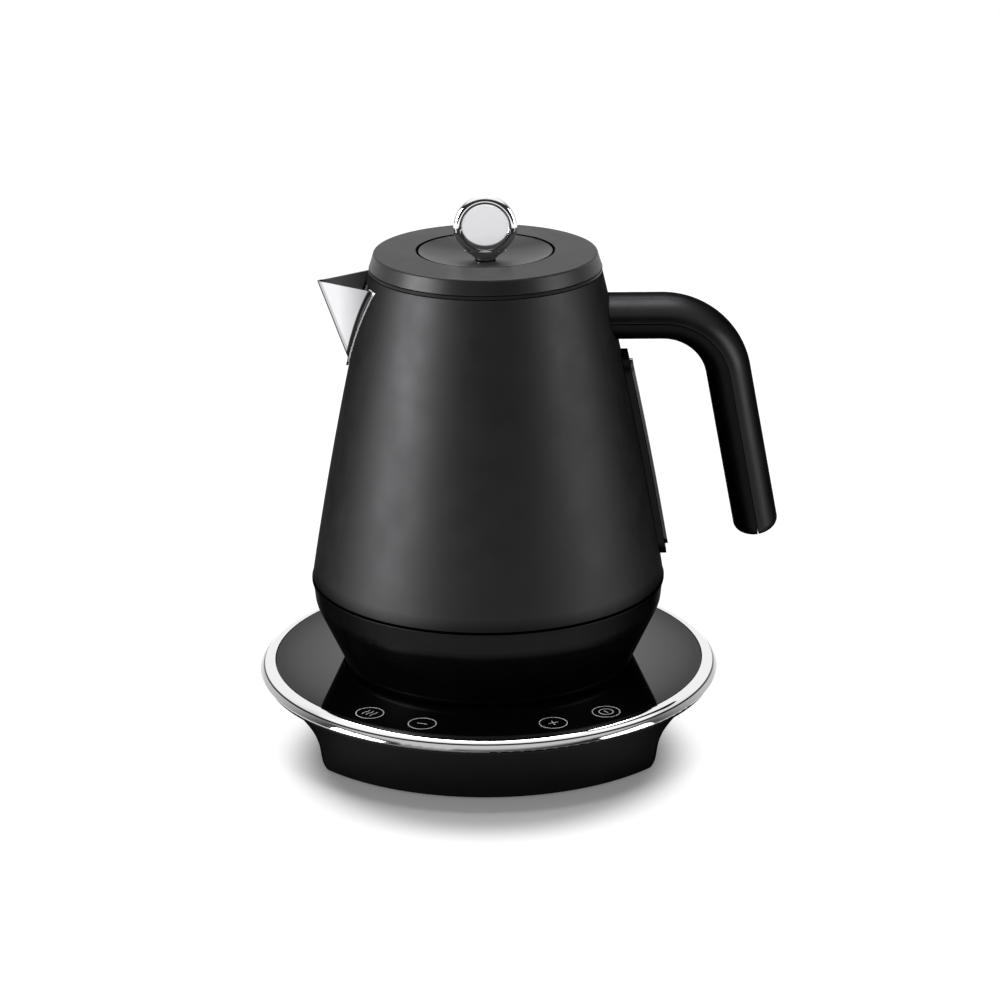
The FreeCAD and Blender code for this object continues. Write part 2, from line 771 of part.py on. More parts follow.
def make_electronics():
    board_low = "board_top - board_thickness"
    slab = cylinder("touch_slab", "board_outer_radius", "board_thickness", z=board_low)
    slab.setExpression("Angle", formula("2 * board_half_angle"))
    slab.Placement = FreeCAD.Placement(FreeCAD.Vector(),
                                       FreeCAD.Rotation(FRONT - number("board_half_angle"), 0, 0))
    slab.setExpression("Placement.Base.z", formula(board_low))
    hole = cylinder("touch_slab_hole", "board_inner_radius", "base_height")
    finished(cut("touch_circuit", slab, hole), "touch_board")
    pad_height = "glass_bottom - board_top"
    pads = [cylinder(f"pad_{tag}", "pad_radius", pad_height, x, y, "board_top") for tag, x, y in touch_keys()]
    finished(grouped("pad_set", pads), "touch_pads")
    display = block("digits", "display_length", "display_width", pad_height,
                    "0", "-key_circle_radius", "board_top")
    finished(display, "display_module")
    supply = block("supply", "power_board_length", "power_board_width", "board_thickness",
                   "0", "power_board_y", "cover_top + power_board_lift")
    finished(supply, "power_board")
    relay = block("relay", "relay_length", "relay_width", "relay_height",
                  "-component_offset", "power_board_y", "power_board_top")
    finished(relay, "power_relay")
    terminals = block("terminals", "terminal_length", "terminal_width", "terminal_height",
                      "component_offset", "power_board_y", "power_board_top")
    finished(terminals, "terminal_block")


def make_coupling():
    socket = turned("socket", [
        ("socket_radius", "socket_bottom"),
        ("connector_radius", "socket_bottom"),
        ("connector_radius", "connector_top"),
        ("0", "connector_top"),
        ("0", "socket_ceiling"),
        ("socket_radius", "socket_ceiling"),
    ])
    finished(socket, "kettle_connector")
    low = "socket_ceiling - blade_length"
    contacts = [cylinder("pin", "pin_radius", "blade_length", z=low)]
    for slot in ("outer", "inner"):
        near = f"{slot_edge(slot, -1)} + contact_wall + contact_gap"
        contacts.append(ring(f"{slot}_blade", near, f"{near} + blade_thickness", low, "socket_ceiling"))
    finished(grouped("blade_set", contacts), "connector_contacts")


def skirt_lugs():
    """The four places where the kettle's cover is screwed on."""
    for tag, angle in enumerate(LUG_ANGLES):
        yield tag, *polar("(lug_circle)", angle)


def make_skirt():
    cone_top = "band_bottom - skirt_shoulder_drop"
    shoulder = "skirt_band_radius - skirt_shoulder_inset"
    foot_z = "kettle_floor + skirt_foot_round"
    lip_z = "skirt_top - skirt_lip_height"
    neck_bore = "neck_outer + neck_fit"
    shell = turned("skirt_shell", [
        ("skirt_bore", "kettle_floor"),
        ("skirt_foot_radius - skirt_foot_round", "kettle_floor", "skirt_foot_round"),
        ("skirt_foot_radius", foot_z),
        (shoulder, cone_top, "skirt_shoulder_radius"),
        ("skirt_band_radius", "band_bottom"),
        ("skirt_lip_radius - skirt_lip_proud", lip_z),
        ("skirt_lip_radius", lip_z),
        ("skirt_lip_radius", "skirt_top"),
        (neck_bore, "skirt_top"),
        (neck_bore, "neck_bottom"),
        ("neck_inner - skirt_wall / 2", "neck_bottom"),
        (f"{shoulder} - skirt_wall", cone_top),
        ("skirt_foot_radius - skirt_wall", "ledge_top"),
        ("skirt_bore - skirt_ledge_width", "ledge_top"),
        ("skirt_bore - skirt_ledge_width", "cover_seat"),
        ("skirt_bore", "cover_seat"),
    ])
    lugs = [cylinder(f"lug_{tag}", "lug_radius", "lug_height", x, y, "cover_seat")
            for tag, x, y in skirt_lugs()]
    head_z = "kettle_floor + kettle_cover_lift"
    holes = [screw_hole(f"lug_hole_{tag}", x, y, head_z) for tag, x, y in skirt_lugs()]
    finished(cut("skirt_part", fused("skirt_solid", shell, *lugs), *holes), "skirt")
    plate = ring("underside", "connector_radius + contact_gap", "skirt_bore - cover_fit",
                 head_z, "cover_seat")
    holes = [screw_hole(f"underside_hole_{tag}", x, y, head_z) for tag, x, y in skirt_lugs()]
    finished(cut("underside_plate", plate, *holes), "kettle_cover")
    screws = [screw(f"cover_screw_{tag}", x, y, head_z) for tag, x, y in skirt_lugs()]
    finished(grouped("cover_screw_set", screws), "cover_screws")


def make_body_shell():
    floor_z = "body_bottom + body_wall"
    jug = turned("jug", [
        ("neck_outer", "neck_bottom"),
        ("neck_outer", "body_bottom"),
        ("body_bottom_radius", "body_bottom", "body_arc"),
        ("body_top_radius", "body_top"),
        ("body_top_radius - body_wall", "body_top", "-body_arc"),
        ("body_bottom_radius - body_wall", floor_z),
        ("neck_inner", floor_z),
        ("neck_inner", "neck_bottom"),
    ])
    mouth = towards_spout("spout_hole", spout_opening("0"))
    slot = towards_handle("gauge_hole", stadium("gauge_slot_half_width", "window_top - slot_inset",
                                                "window_bottom + slot_inset"))
    finished(cut("jug_part", jug, mouth, slot), "body_shell")


def spout_opening(inset, drop="0"):
    """The V-shaped opening behind the spout, drawn in by a distance."""
    narrow = f"(opening_inset + {inset})"
    return shield(f"(spout_half_width - {narrow})", f"(spout_top - surface_fit - {drop})",
                  f"(spout_bottom + 2 * {narrow})", "(flange_corner / 2)")


def make_collar():
    collar = turned("collar", [
        ("body_top_radius - body_wall - neck_fit - collar_wall", "body_top - collar_depth"),
        ("body_top_radius - body_wall - neck_fit", "body_top - collar_depth"),
        ("body_top_radius - body_wall - neck_fit", "collar_bottom"),
        ("body_top_radius", "collar_bottom"),
        ("body_top_radius", "collar_top"),
        ("mouth_radius", "collar_top"),
        ("mouth_radius", "collar_bottom"),
        ("body_top_radius - body_wall - neck_fit - collar_wall", "collar_bottom - collar_band / 2"),
    ])
    finished(collar, "collar_ring")


def make_heater():
    seal_outer = "neck_inner - neck_fit"
    seal_inner = "plate_radius - seal_lip"
    plate_gap = "surface_fit"
    seal = turned("edge_seal", [
        (seal_inner, "plate_bottom - seal_thickness"),
        (seal_outer, "plate_bottom - seal_thickness"),
        (seal_outer, "plate_top + seal_thickness"),
        (seal_inner, "plate_top + seal_thickness"),
        (seal_inner, f"plate_top + {plate_gap}"),
        (f"plate_radius + {plate_gap}", f"plate_top + {plate_gap}"),
        (f"plate_radius + {plate_gap}", f"plate_bottom - {plate_gap}"),
        (seal_inner, f"plate_bottom - {plate_gap}"),
    ])
    finished(seal, "plate_seal")
    bore = cylinder("probe_bore", "probe_radius + probe_fit", "base_height * 2",
                    y="probe_offset", z="control_bottom")
    plate = cylinder("plate", "plate_radius", "plate_thickness", z="plate_bottom")
    finished(cut("plate_part", plate, bore), "heating_plate")
    disc = cylinder("spreader", "spreader_radius", "spreader_thickness", z="spreader_bottom")
    groove = torus("element_groove", "element_radius", "element_tube_radius + surface_fit", "element_z")
    threads = [screw_hole(f"spreader_hole_{tag}", x, y, "control_bottom", "control_screw_length")
               for tag, x, y in control_posts()]
    finished(cut("spreader_part", disc, groove, bore, *threads), "heat_spreader")
    tube = torus("element_tube", "element_radius", "element_tube_radius", "element_z")
    tube.setExpression("Angle3", formula("360 - element_gap_angle"))
    tube.Placement = FreeCAD.Placement(FreeCAD.Vector(),
                                       FreeCAD.Rotation(number("element_gap_angle") / 2, 0, 0))
    tube.setExpression("Placement.Base.z", formula("element_z"))
    pins = []
    for side in (-1, 1):
        x, y = polar("element_radius", f"({side} * (element_gap_angle / 2 + cold_pin_angle))")
        pins.append(cylinder(f"cold_pin_{side + 1}", "terminal_pin_radius", "terminal_pin_length",
                             x, y, "element_z - terminal_pin_length"))
    finished(fused("element", tube, *pins), "heating_element")
    flange_z = "plate_top + probe_seal_thickness"
    flange_radius = "probe_radius + probe_flange_width"
    stem = cylinder("probe_stem", "probe_radius", "plate_top + probe_rise - spreader_bottom",
                    y="probe_offset", z="spreader_bottom")
    brim = cylinder("probe_brim", flange_radius, "probe_flange_thickness", y="probe_offset", z=flange_z)
    finished(fused("probe", stem, brim), "temperature_probe")
    washer = cylinder("probe_washer", flange_radius, "probe_seal_thickness", y="probe_offset", z="plate_top")
    washer_hole = cylinder("probe_washer_hole", "probe_radius + surface_fit", "base_height",
                           y="probe_offset", z="plate_bottom")
    finished(cut("probe_gasket", washer, washer_hole), "probe_seal")


def torus(label, major, minor, z):
    hoop = doc.addObject("Part::Torus", label)
    hoop.setExpression("Radius1", formula(major))
    hoop.setExpression("Radius2", formula(minor))
    return place(hoop, z=z)


def control_posts():
    """The three places where the thermal control hangs from the spreader."""
    for tag, angle in enumerate(CONTROL_POST_ANGLES):
        yield tag, *polar("control_post_circle", angle)


def make_control():
    case = cylinder("control_case", "control_radius", "control_height", z="control_bottom")
    posts = [cylinder(f"control_post_{tag}", "control_post_radius", "spreader_bottom - control_top",
                      x, y, "control_top") for tag, x, y in control_posts()]
    length = "control_screw_length"
    holes = [screw_hole(f"control_hole_{tag}", x, y, "control_bottom", length)
             for tag, x, y in control_posts()]
    finished(cut("control", fused("control_solid", case, *posts), *holes), "thermal_control")
    screws = [screw(f"control_screw_{tag}", x, y, "control_bottom", length) for tag, x, y in control_posts()]
    finished(grouped("control_screw_set", screws), "control_screws")


def make_spout():
    nose = "spout_nose_radius"
    hub = f"(-spout_reach + {nose})"
    legs_x = "(-body_top_radius / 2)"
    point_x = f"({hub} - {nose} / sin(spout_half_angle))"
    inner_x = f"({hub} - ({nose} - spout_sheet) / sin(spout_half_angle))"
    outer_y = f"(({legs_x} - {point_x}) * tan(spout_half_angle))"
    inner_y = f"(({legs_x} - {inner_x}) * tan(spout_half_angle))"

    def nose_point(radius, side):
        x = f"{hub} - ({radius}) * sin(spout_half_angle)"
        return x, f"{side} * ({radius}) * cos(spout_half_angle)"

    thin = f"{nose} - spout_sheet"
    profile = doc.addObject("Sketcher::SketchObject", "spout_profile")
    place(profile, z="spout_top")
    outline(profile, [
        (legs_x, outer_y),
        (*nose_point(nose, 1), nose),
        nose_point(nose, -1),
        (legs_x, f"-{outer_y}"),
        (legs_x, f"-{inner_y}"),
        (*nose_point(thin, -1), f"-({thin})"),
        nose_point(thin, 1),
        (legs_x, inner_y),
    ])
    beak = doc.addObject("Part::Extrusion", "beak")
    beak.Base = profile
    beak.DirMode = "Custom"
    beak.setExpression("Dir.x", formula("spout_lean / spout_depth"))
    beak.setExpression("Dir.y", formula("0"))
    beak.setExpression("Dir.z", formula("-1"))
    keel = "sqrt(spout_lean ^ 2 + spout_depth ^ 2)"
    beak.setExpression("LengthFwd", formula(f"{keel} + body_wall + spout_lean"))
    beak.Solid = True
    beak_outside = cut("beak_outside", beak, body_core("beak_trim", "surface_fit"))
    rim = shield("(spout_half_width + flange_width)", "spout_top",
                 "(spout_bottom - flange_width)", "flange_rim_corner")
    skin = shared("flange_skin", towards_spout("flange_prism", rim),
                  body_layer("flange_layer", "surface_fit", "flange_proud"))
    way = shield("(spout_half_width - opening_inset)", "(spout_top + spout_drop / 2)",
                 "(spout_bottom + 2 * opening_inset)", "(flange_corner / 2)")
    flange = cut("flange", skin, towards_spout("flange_way", way))
    finished(fused("spout_part", beak_outside, flange), "spout")


def make_filter():
    frame = shield("(spout_half_width + holder_margin)", "spout_top",
                   "(spout_bottom - 2 * holder_margin)", "flange_corner")
    sheet_part = shared("holder_sheet", towards_spout("holder_prism", frame),
                        body_layer("holder_layer", "(-holder_inner)", "(-holder_outer)"))
    cradle_x = pivot_x()
    cradle = block("cradle_block", "4 * bead_radius", "bead_length - 2 * bead_radius", "2 * bead_radius",
                   cradle_x, "0", "bead_z - 2 * bead_radius")
    outside = body_layer("cradle_trim", "(-holder_outer)", "holder_margin")
    cradle_inside = cut("cradle_inside", cradle, outside)
    groove = cylinder("bead_groove", "bead_radius + contact_gap", "2 * bead_length",
                      cradle_x, "-bead_length", "bead_z", "Y")
    way = towards_spout("holder_way", spout_opening("0", "(-spout_drop)"))
    solid = fused("holder_solid", sheet_part, cradle_inside)
    room = body_layer("filter_room", "(-filter_inner - holder_thickness)", "(-holder_inner)")
    bar = shield("(spout_half_width + holder_margin)", "spout_top", "bead_z", "flange_corner")
    clearing = shared("filter_clearing", towards_spout("clearing_prism", bar), room)
    finished(cut("holder", solid, way, clearing, groove), "filter_holder")

    rim = shield("spout_half_width", "filter_top",
                 "(bead_z - 2 * bead_radius - flange_corner)", "flange_corner")
    sheet_blank = shared("filter_sheet", towards_spout("filter_prism", rim),
                         body_layer("filter_layer", "(-filter_inner)", "(-filter_outer)"))
    below = block("below_bead", "body_top_radius", "bead_length", "body_top_radius",
                  cradle_x, "0", "bead_z - body_top_radius")
    blank = cut("filter_blank", sheet_blank, below)
    window = filter_window("0")
    mesh_outline = filter_window("(-mesh_seat)")
    bead = cylinder("bead", "bead_radius", "bead_length", cradle_x, "-bead_length / 2", "bead_z", "Y")
    body = fused("filter_solid", blank, bead)
    groove_outline = filter_window("(-mesh_seat - surface_fit)")
    groove_layer = body_layer("mesh_groove_layer", "(-mesh_inner - surface_fit)",
                              "(-mesh_outer + surface_fit)")
    seat = shared("mesh_groove", towards_spout("mesh_groove_prism", groove_outline), groove_layer)
    finished(cut("filter_part", body, towards_spout("filter_way", window), seat), "filter_frame")
    net = shared("mesh_blank", towards_spout("mesh_prism", mesh_outline),
                 body_layer("mesh_layer", "(-mesh_inner)", "(-mesh_outer)"))
    finished(cut("mesh_part", net, mesh_holes()), "filter_mesh")


def pivot_x():
    """Where the filter's pivot bead lies, in the thickness of the filter."""
    return f"-({body_radius('bead_z')} - filter_outer - filter_thickness / 2)"


def filter_window(inset):
    """The mesh area of the filter, drawn in by a distance."""
    narrow = f"(filter_band + {inset})"
    return shield(f"(spout_half_width - {narrow})", f"(filter_top - {narrow})",
                  f"(spout_bottom + {narrow})", "(flange_corner / 2)")


def mesh_holes():
    """Rows of round holes inside the filter's window."""
    pitch = number("mesh_pitch")
    half_width = number("spout_half_width - filter_band")
    depth = number("filter_top - spout_bottom - 2 * filter_band")
    margin = number("mesh_pitch + 2 * mesh_hole_radius")
    drills = []
    for row in range(1, int(depth / pitch)):
        reach = half_width * (1 - row * pitch / depth) - margin
        count = int(max(reach, 0) / pitch)
        for column in range(-count, count + 1):
            drill = cylinder("mesh_hole", "mesh_hole_radius", "2 * body_bottom_radius",
                             "-2 * body_bottom_radius", f"{column} * mesh_pitch",
                             f"filter_top - filter_band - {row} * mesh_pitch", "X")
            drills.append(drill)
    return grouped("mesh_drills", drills)


def handle_path(label, trim):
    """The handle's centre line: level out of the jug, round the bend and down the leg."""
    leg = f"(handle_leg - ({trim}))"
    bend_x = "handle_reach - handle_tangent"
    after_x = "handle_reach + handle_tangent * sin(handle_tilt)"
    after_z = "handle_z - handle_tangent * cos(handle_tilt)"
    start = FreeCAD.Vector(number("body_top_radius / 2"), 0, number("handle_z"))
    before = FreeCAD.Vector(number(bend_x), 0, number("handle_z"))
    after = FreeCAD.Vector(number(after_x), 0, number(after_z))
    hub = FreeCAD.Vector(number(bend_x), 0, number("handle_z - handle_bend_radius"))
    outward = FreeCAD.Vector(number("sin((90 - handle_tilt) / 2)"), 0, number("cos((90 - handle_tilt) / 2)"))
    middle = hub + outward * number("handle_bend_radius")
    end = FreeCAD.Vector(number(f"handle_reach + {leg} * sin(handle_tilt)"), 0,
                         number(f"handle_z - {leg} * cos(handle_tilt)"))
    edges = [Part.LineSegment(start, before), Part.Arc(before, middle, after), Part.LineSegment(after, end)]
    path = doc.addObject("Part::Feature", label)
    path.Shape = Part.Wire([edge.toShape() for edge in edges])
    return path


def swept(label, section, path):
    sweep = doc.addObject("Part::Sweep", label)
    sweep.Sections = [section]
    sweep.Spine = (path, ["Edge1", "Edge2", "Edge3"])
    sweep.Solid = True
    return sweep


def oval(label, inset):
    ring_line = doc.addObject("Part::Ellipse", label)
    ring_line.setExpression("MajorRadius", formula(f"handle_width / 2 - {inset}"))
    ring_line.setExpression("MinorRadius", formula(f"handle_thickness / 2 - {inset}"))
    return place(ring_line, "body_top_radius / 2", "0", "handle_z", "cross")


def handle_zone(label, shift, path):
    """The space on the outer side of the handle's seam."""
    panel = doc.addObject("Part::Plane", f"{label}_section")
    panel.setExpression("Length", formula("2 * handle_width"))
    panel.setExpression("Width", formula("handle_thickness"))
    place(panel, "body_top_radius / 2", "-handle_width", f"handle_z + {shift}", "cross")
    return swept(label, panel, path)


def make_handle():
    path = handle_path("handle_line", "0")
    long_path = handle_path("handle_long_line", "-handle_width")
    form = swept("handle_form", oval("handle_oval", "0"), path)
    doc.recompute()
    end = path.Shape.Vertexes[-1].Point
    rounding = doc.addObject("Part::Fillet", "handle_rounded")
    rounding.Base = form
    size = number("handle_end_round")
    rims = [index for index, edge in enumerate(form.Shape.Edges, start=1)
            if (edge.CenterOfMass - end).Length < number("handle_wall")]
    rounding.Edges = [(index, size, size) for index in rims]
    hollow = swept("handle_hollow", oval("handle_hollow_oval", "handle_wall"),
                   handle_path("handle_hollow_line", "2 * handle_wall"))
    grip = cut("handle_shell", rounding, hollow, body_core("handle_trim", "surface_fit"))
    half_seam = "handle_seam / 2"
    outer_zone = handle_zone("outer_zone", half_seam, long_path)
    finished(shared("outer_half", grip, outer_zone), "handle_outer")
    inner = cut("inner_half", grip, handle_zone("inner_zone", f"(-{half_seam})", long_path))
    root = body_radius("handle_z")
    plug = doc.addObject("Part::Extrusion", "bracket_plug")
    plug.Base = oval("bracket_oval", "(handle_wall + bracket_fit)")
    plug.DirMode = "Custom"
    plug.Dir = FreeCAD.Vector(1, 0, 0)
    plug.setExpression("LengthFwd", formula(f"{root} + bracket_length - body_top_radius / 2"))
    plug.Solid = True
    stub = cut("bracket_stub", plug, body_core("bracket_trim", "surface_fit"))
    screw_z = "handle_z - handle_thickness / 2 + screw_head_height / 4"
    holes = []
    screws = []
    for step in range(HANDLE_SCREWS):
        x = f"{root} + handle_screw_inset + {step} * handle_screw_pitch"
        holes.append(screw_hole(f"handle_hole_{step}", x, "0", screw_z))
        screws.append(screw(f"handle_screw_{step}", x, "0", screw_z))
    finished(cut("inner_part", inner, *holes), "handle_inner")
    finished(cut("bracket", stub, *holes), "handle_bracket")
    finished(grouped("handle_screw_set", screws), "handle_screws")


def gauge_side():
    """The gauge seen from the side, with round outer corners at its two ends."""
    def face(z):
        return f"{body_radius(z)} + gauge_frame_proud + gauge_end_clear"

    return padded("gauge_side", "XZ_Plane", [
        ("0", "gauge_bottom"),
        (f"{face('gauge_bottom')} - gauge_end_round", "gauge_bottom", "gauge_end_round"),
        (face("(gauge_bottom + gauge_end_round)"), "gauge_bottom + gauge_end_round", "body_arc"),
        (face("(gauge_top - gauge_end_round)"), "gauge_top - gauge_end_round", "gauge_end_round"),
        (f"{face('gauge_top')} - gauge_end_round", "gauge_top"),
        ("0", "gauge_top"),
    ], "4 * gauge_half_width", "(-2 * gauge_half_width)")


def make_gauge():
    frame_prism = towards_handle("gauge_prism", stadium("gauge_half_width", "gauge_top", "gauge_bottom"))
    frame_layer = body_layer("gauge_layer", "surface_fit", "gauge_frame_proud")
    grown = "(gauge_window_half_width + gauge_window_fit)"
    window_way = towards_handle("window_way", stadium(grown, "(window_top + gauge_window_fit)",
                                                      "(window_bottom - gauge_window_fit)"))
    blank = shared("gauge_blank", shared("gauge_block", frame_prism, gauge_side()), frame_layer)
    finished(cut("gauge", blank, window_way), "gauge_frame")
    strip = towards_handle("window_prism", stadium("gauge_window_half_width", "window_top", "window_bottom"))
    seal_top = "(surface_fit + gauge_seal_thickness)"
    clear = shared("window", strip, body_layer("window_layer", seal_top, "gauge_window_proud"))
    finished(clear, "gauge_window")
    pad = shared("seal_blank", strip, body_layer("seal_layer", "surface_fit", seal_top))
    hole = towards_handle("seal_way", stadium("gauge_slot_half_width", "window_top - slot_inset",
                                              "window_bottom + slot_inset"))
    finished(cut("seal", pad, hole), "gauge_seal")


def lid_bosses():
    """The three places where the lid's pan is screwed to its cap."""
    for tag, angle in enumerate(LID_BOSS_ANGLES):
        yield tag, *polar("lid_screw_circle", angle)


def make_lid():
    crown_under = "lid_top - lid_wall"
    shell = turned("cap_shell", [
        ("0", "dish_under"),
        ("insert_hole", f"{crown_under} - insert_thickness"),
        ("insert_hole + lid_wall", crown_under),
        ("lid_edge_radius - lid_wall", "cap_under"),
        ("lid_rim_radius - lid_wall", "lid_rim_bottom"),
        ("lid_rim_radius", "lid_rim_bottom"),
        ("lid_edge_radius", "lid_edge_z - lid_edge_round", "lid_edge_round"),
        ("lid_edge_radius - lid_edge_round", "lid_edge_z"),
        ("insert_hole", "lid_top"),
        ("insert_hole", "lid_top - insert_thickness", "-dish_arc"),
        ("0", "dish_seat"),
    ])
    head_z = "liner_bottom - screw_head_height"
    bosses = []
    holes = []
    screws = []
    for tag, x, y in lid_bosses():
        bosses.append(cylinder(f"lid_boss_{tag}", "boss_radius", "cap_under - liner_floor + lid_wall / 2",
                               x, y, "liner_floor"))
        holes.append(screw_hole(f"lid_hole_{tag}", x, y, head_z))
        screws.append(screw(f"lid_screw_{tag}", x, y, head_z))
    knob_screw_z = "dish_under - screw_head_height"
    knob_hole = screw_hole("knob_hole", "0", "0", knob_screw_z)
    cap = cut("cap", fused("cap_solid", shell, *bosses), knob_hole, *holes)
    finished(cap, "lid_cap")
    dish = turned("dish", [
        ("neck_hole", dish_height("neck_hole", "dish_seat"), "dish_arc"),
        ("insert_radius", "lid_top - insert_thickness"),
        ("insert_radius", "lid_top", "-dish_arc"),
        ("neck_hole", dish_height("neck_hole", "dish_top")),
    ])
    finished(dish, "lid_insert")
    finished(screw("knob_bolt", "0", "0", knob_screw_z), "knob_screw")
    make_knob(knob_hole)
    pan = turned("pan", [
        ("0", "liner_bottom"),
        ("liner_radius", "liner_bottom"),
        ("liner_radius", "liner_flange_bottom"),
        ("liner_flange_radius", "liner_flange_bottom"),
        ("liner_flange_radius", "liner_flange_top"),
        ("liner_radius - liner_wall", "liner_flange_top"),
        ("liner_radius - liner_wall", "liner_floor"),
        ("0", "liner_floor"),
    ])
    finished(cut("pan_part", pan, *holes), "lid_liner")
    seal_high = "liner_flange_bottom - surface_fit"
    seal_low = f"{seal_high} - lid_seal_height"
    lip = turned("lip_seal", [
        ("liner_radius + surface_fit", seal_low),
        ("(liner_radius + mouth_radius - lid_seal_gap) / 2", seal_low),
        ("mouth_radius - lid_seal_gap", f"{seal_low} + lid_seal_height / 2"),
        ("(liner_radius + mouth_radius - lid_seal_gap) / 2", seal_high),
        ("liner_radius + surface_fit", seal_high),
    ])
    finished(lip, "lid_seal")
    finished(grouped("lid_screw_set", screws), "lid_screws")


def dish_height(radius, lowest):
    """The height of the dish's arc at a radius."""
    return f"{lowest} + dish_arc - sqrt(dish_arc ^ 2 - ({radius}) ^ 2)"


def make_knob(bolt_hole):
    rim = doc.addObject("Part::Torus", "knob_rim")
    rim.setExpression("Radius1", formula("knob_major"))
    rim.setExpression("Radius2", formula("knob_rim_radius"))
    place(rim, "0", "0", "knob_z", "Y")
    web = cylinder("knob_disc", "knob_major", "knob_web", "0", "-knob_web / 2", "knob_z", "Y")
    neck_z = dish_height("knob_neck_half_width", "dish_seat")
    reach = f"(knob_z - knob_major - ({neck_z}))"
    sections = []
    for height, spread in NECK_LEVELS:
        half_width = f"knob_neck_half_width + {spread} * (knob_neck_spread - knob_neck_half_width)"
        section = doc.addObject("Part::Ellipse", "neck_section")
        section.setExpression("MajorRadius", formula(half_width))
        section.setExpression("MinorRadius", formula("knob_neck_half_depth"))
        sections.append(place(section, z=f"{neck_z} + {height} * {reach}"))
    neck = doc.addObject("Part::Loft", "knob_neck")
    neck.Sections = sections
    neck.Solid = True
    finished(cut("knob", fused("knob_solid", rim, web, neck), bolt_hole), "lid_knob")


def build():
    make_base_housing()
    make_base_cover()
    make_glass_and_ring()
    make_base_connector()
    make_electronics()
    make_coupling()
    make_skirt()
    make_body_shell()
    make_collar()
    make_heater()
    make_control()
    make_spout()
    make_filter()
    make_handle()
    make_gauge()
    make_lid()
    doc.recompute()


def check():
    """Stop unless every object was built and every piece is a sound solid."""
    for thing in doc.Objects:
        if {"Invalid", "Error"} & set(thing.State):
            raise RuntimeError(f"{thing.Label} failed: {thing.State}")
    for thing in PIECES:
        if thing.Shape.isNull() or not thing.Shape.isValid() or not thing.Shape.Solids:
            raise RuntimeError(f"{thing.Label} is not a sound solid")


build()
check()
os.makedirs("parts", exist_ok=True)
for thing in PIECES:
    thing.Shape.exportStep(f"parts/{thing.Label}.step")
    print(f"{thing.Label}: {len(thing.Shape.Solids)} solid(s), {thing.Shape.Volume:.0f} mm3")
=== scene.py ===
import json
import math

import bmesh
import bpy
from mathutils import Matrix, Vector


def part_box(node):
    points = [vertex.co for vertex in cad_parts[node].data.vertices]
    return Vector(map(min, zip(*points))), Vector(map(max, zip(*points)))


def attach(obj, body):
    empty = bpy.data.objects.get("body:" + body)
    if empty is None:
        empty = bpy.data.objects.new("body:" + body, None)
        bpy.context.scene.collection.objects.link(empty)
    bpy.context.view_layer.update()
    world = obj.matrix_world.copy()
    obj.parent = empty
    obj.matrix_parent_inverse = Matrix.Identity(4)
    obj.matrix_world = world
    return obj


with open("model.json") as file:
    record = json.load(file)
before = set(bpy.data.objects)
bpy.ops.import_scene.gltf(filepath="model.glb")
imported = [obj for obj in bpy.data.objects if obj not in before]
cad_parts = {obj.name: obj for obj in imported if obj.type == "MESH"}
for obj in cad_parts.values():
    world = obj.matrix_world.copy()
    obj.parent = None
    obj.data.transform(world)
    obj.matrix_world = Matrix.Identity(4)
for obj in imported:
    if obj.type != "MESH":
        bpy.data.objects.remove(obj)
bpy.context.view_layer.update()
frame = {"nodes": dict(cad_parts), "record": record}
nodes = frame["nodes"]

MM = 0.001

# Camera, fitted to the rim of the glass and the kettle's outline
CAMERA_PLACE = (0.0058, -1.418, 0.5952)
CAMERA_PITCH = 19.03
CAMERA_ROLL = 0.40
CAMERA_LENS = 116.7
CAMERA_SENSOR = 36.0

# Middle line of the handle, and the tongue and shim that close the seam between its halves
HANDLE_HUB = (79.95 * MM, 163.4 * MM)
HANDLE_BEND = 30.9 * MM
HANDLE_TILT = 10.6
HANDLE_LEG = 77.7 * MM
HANDLE_CAP = 6.5 * MM
TONGUE_WIDTH = 3.0 * MM
TONGUE_REACH = 22.0 * MM
SHIM_WIDTH = 0.2 * MM
SHIM_REACH = 20.0 * MM
SHIM_INSET = 0.4 * MM

# Touch keys printed on the glass
GLASS_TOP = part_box("glass_top")[1].z
KEY_CIRCLE = 89.7 * MM
KEY_RING = 6.25 * MM
KEY_LINE = 0.38 * MM
KEY_PRINT_HEIGHT = 0.05 * MM
KEY_ANGLES = {"warm": -36.5, "minus": -19.25, "plus": 18.75, "power": 36.05}
CIRCLE_STEPS = 64

# Finishes: size of the patches in colour, in gloss and in smears, and round and tone of the edges; the tone
# tints satin gloss dark at grazing angles, a painted shade along outlines
MOTTLE = 9 * MM
GLOSS_PATCH = 14 * MM
SMEAR = 6 * MM
EDGE_ROUND = 0.4 * MM
EDGE_TONE = 0.15


def new_material(name):
    """A material, its node tree and its shader."""
    material = bpy.data.materials.new(name)
    material.use_nodes = True
    tree = material.node_tree
    return material, tree, tree.nodes["Principled BSDF"]


def add_node(tree, kind, inputs=None, **settings):
    """A shader node; inputs that are sockets are linked, the others set."""
    made = tree.nodes.new(kind)
    for key, value in settings.items():
        setattr(made, key, value)
    for key, value in (inputs or {}).items():
        if isinstance(value, bpy.types.NodeSocket):
            tree.links.new(value, made.inputs[key])
        else:
            made.inputs[key].default_value = value
    return made


def places(tree, stretch=(1, 1, 1)):
    """Places in the object's own frame, in metres."""
    source = add_node(tree, "ShaderNodeTexCoord").outputs["Object"]
    return add_node(tree, "ShaderNodeMapping", {"Vector": source, "Scale": stretch}).outputs["Vector"]


def axes(tree):
    """The three parts of a place, by axis."""
    return add_node(tree, "ShaderNodeSeparateXYZ", {"Vector": places(tree)}).outputs


def from_axis(tree):
    """Distance from the upright axis, in metres."""
    flat = product(tree, places(tree), (1, 1, 0))
    return add_node(tree, "ShaderNodeVectorMath", {0: flat}, operation="LENGTH").outputs["Value"]


def maths(tree, operation, *values):
    """The result of an operation on plain values."""
    return add_node(tree, "ShaderNodeMath", dict(enumerate(values)), operation=operation).outputs[0]


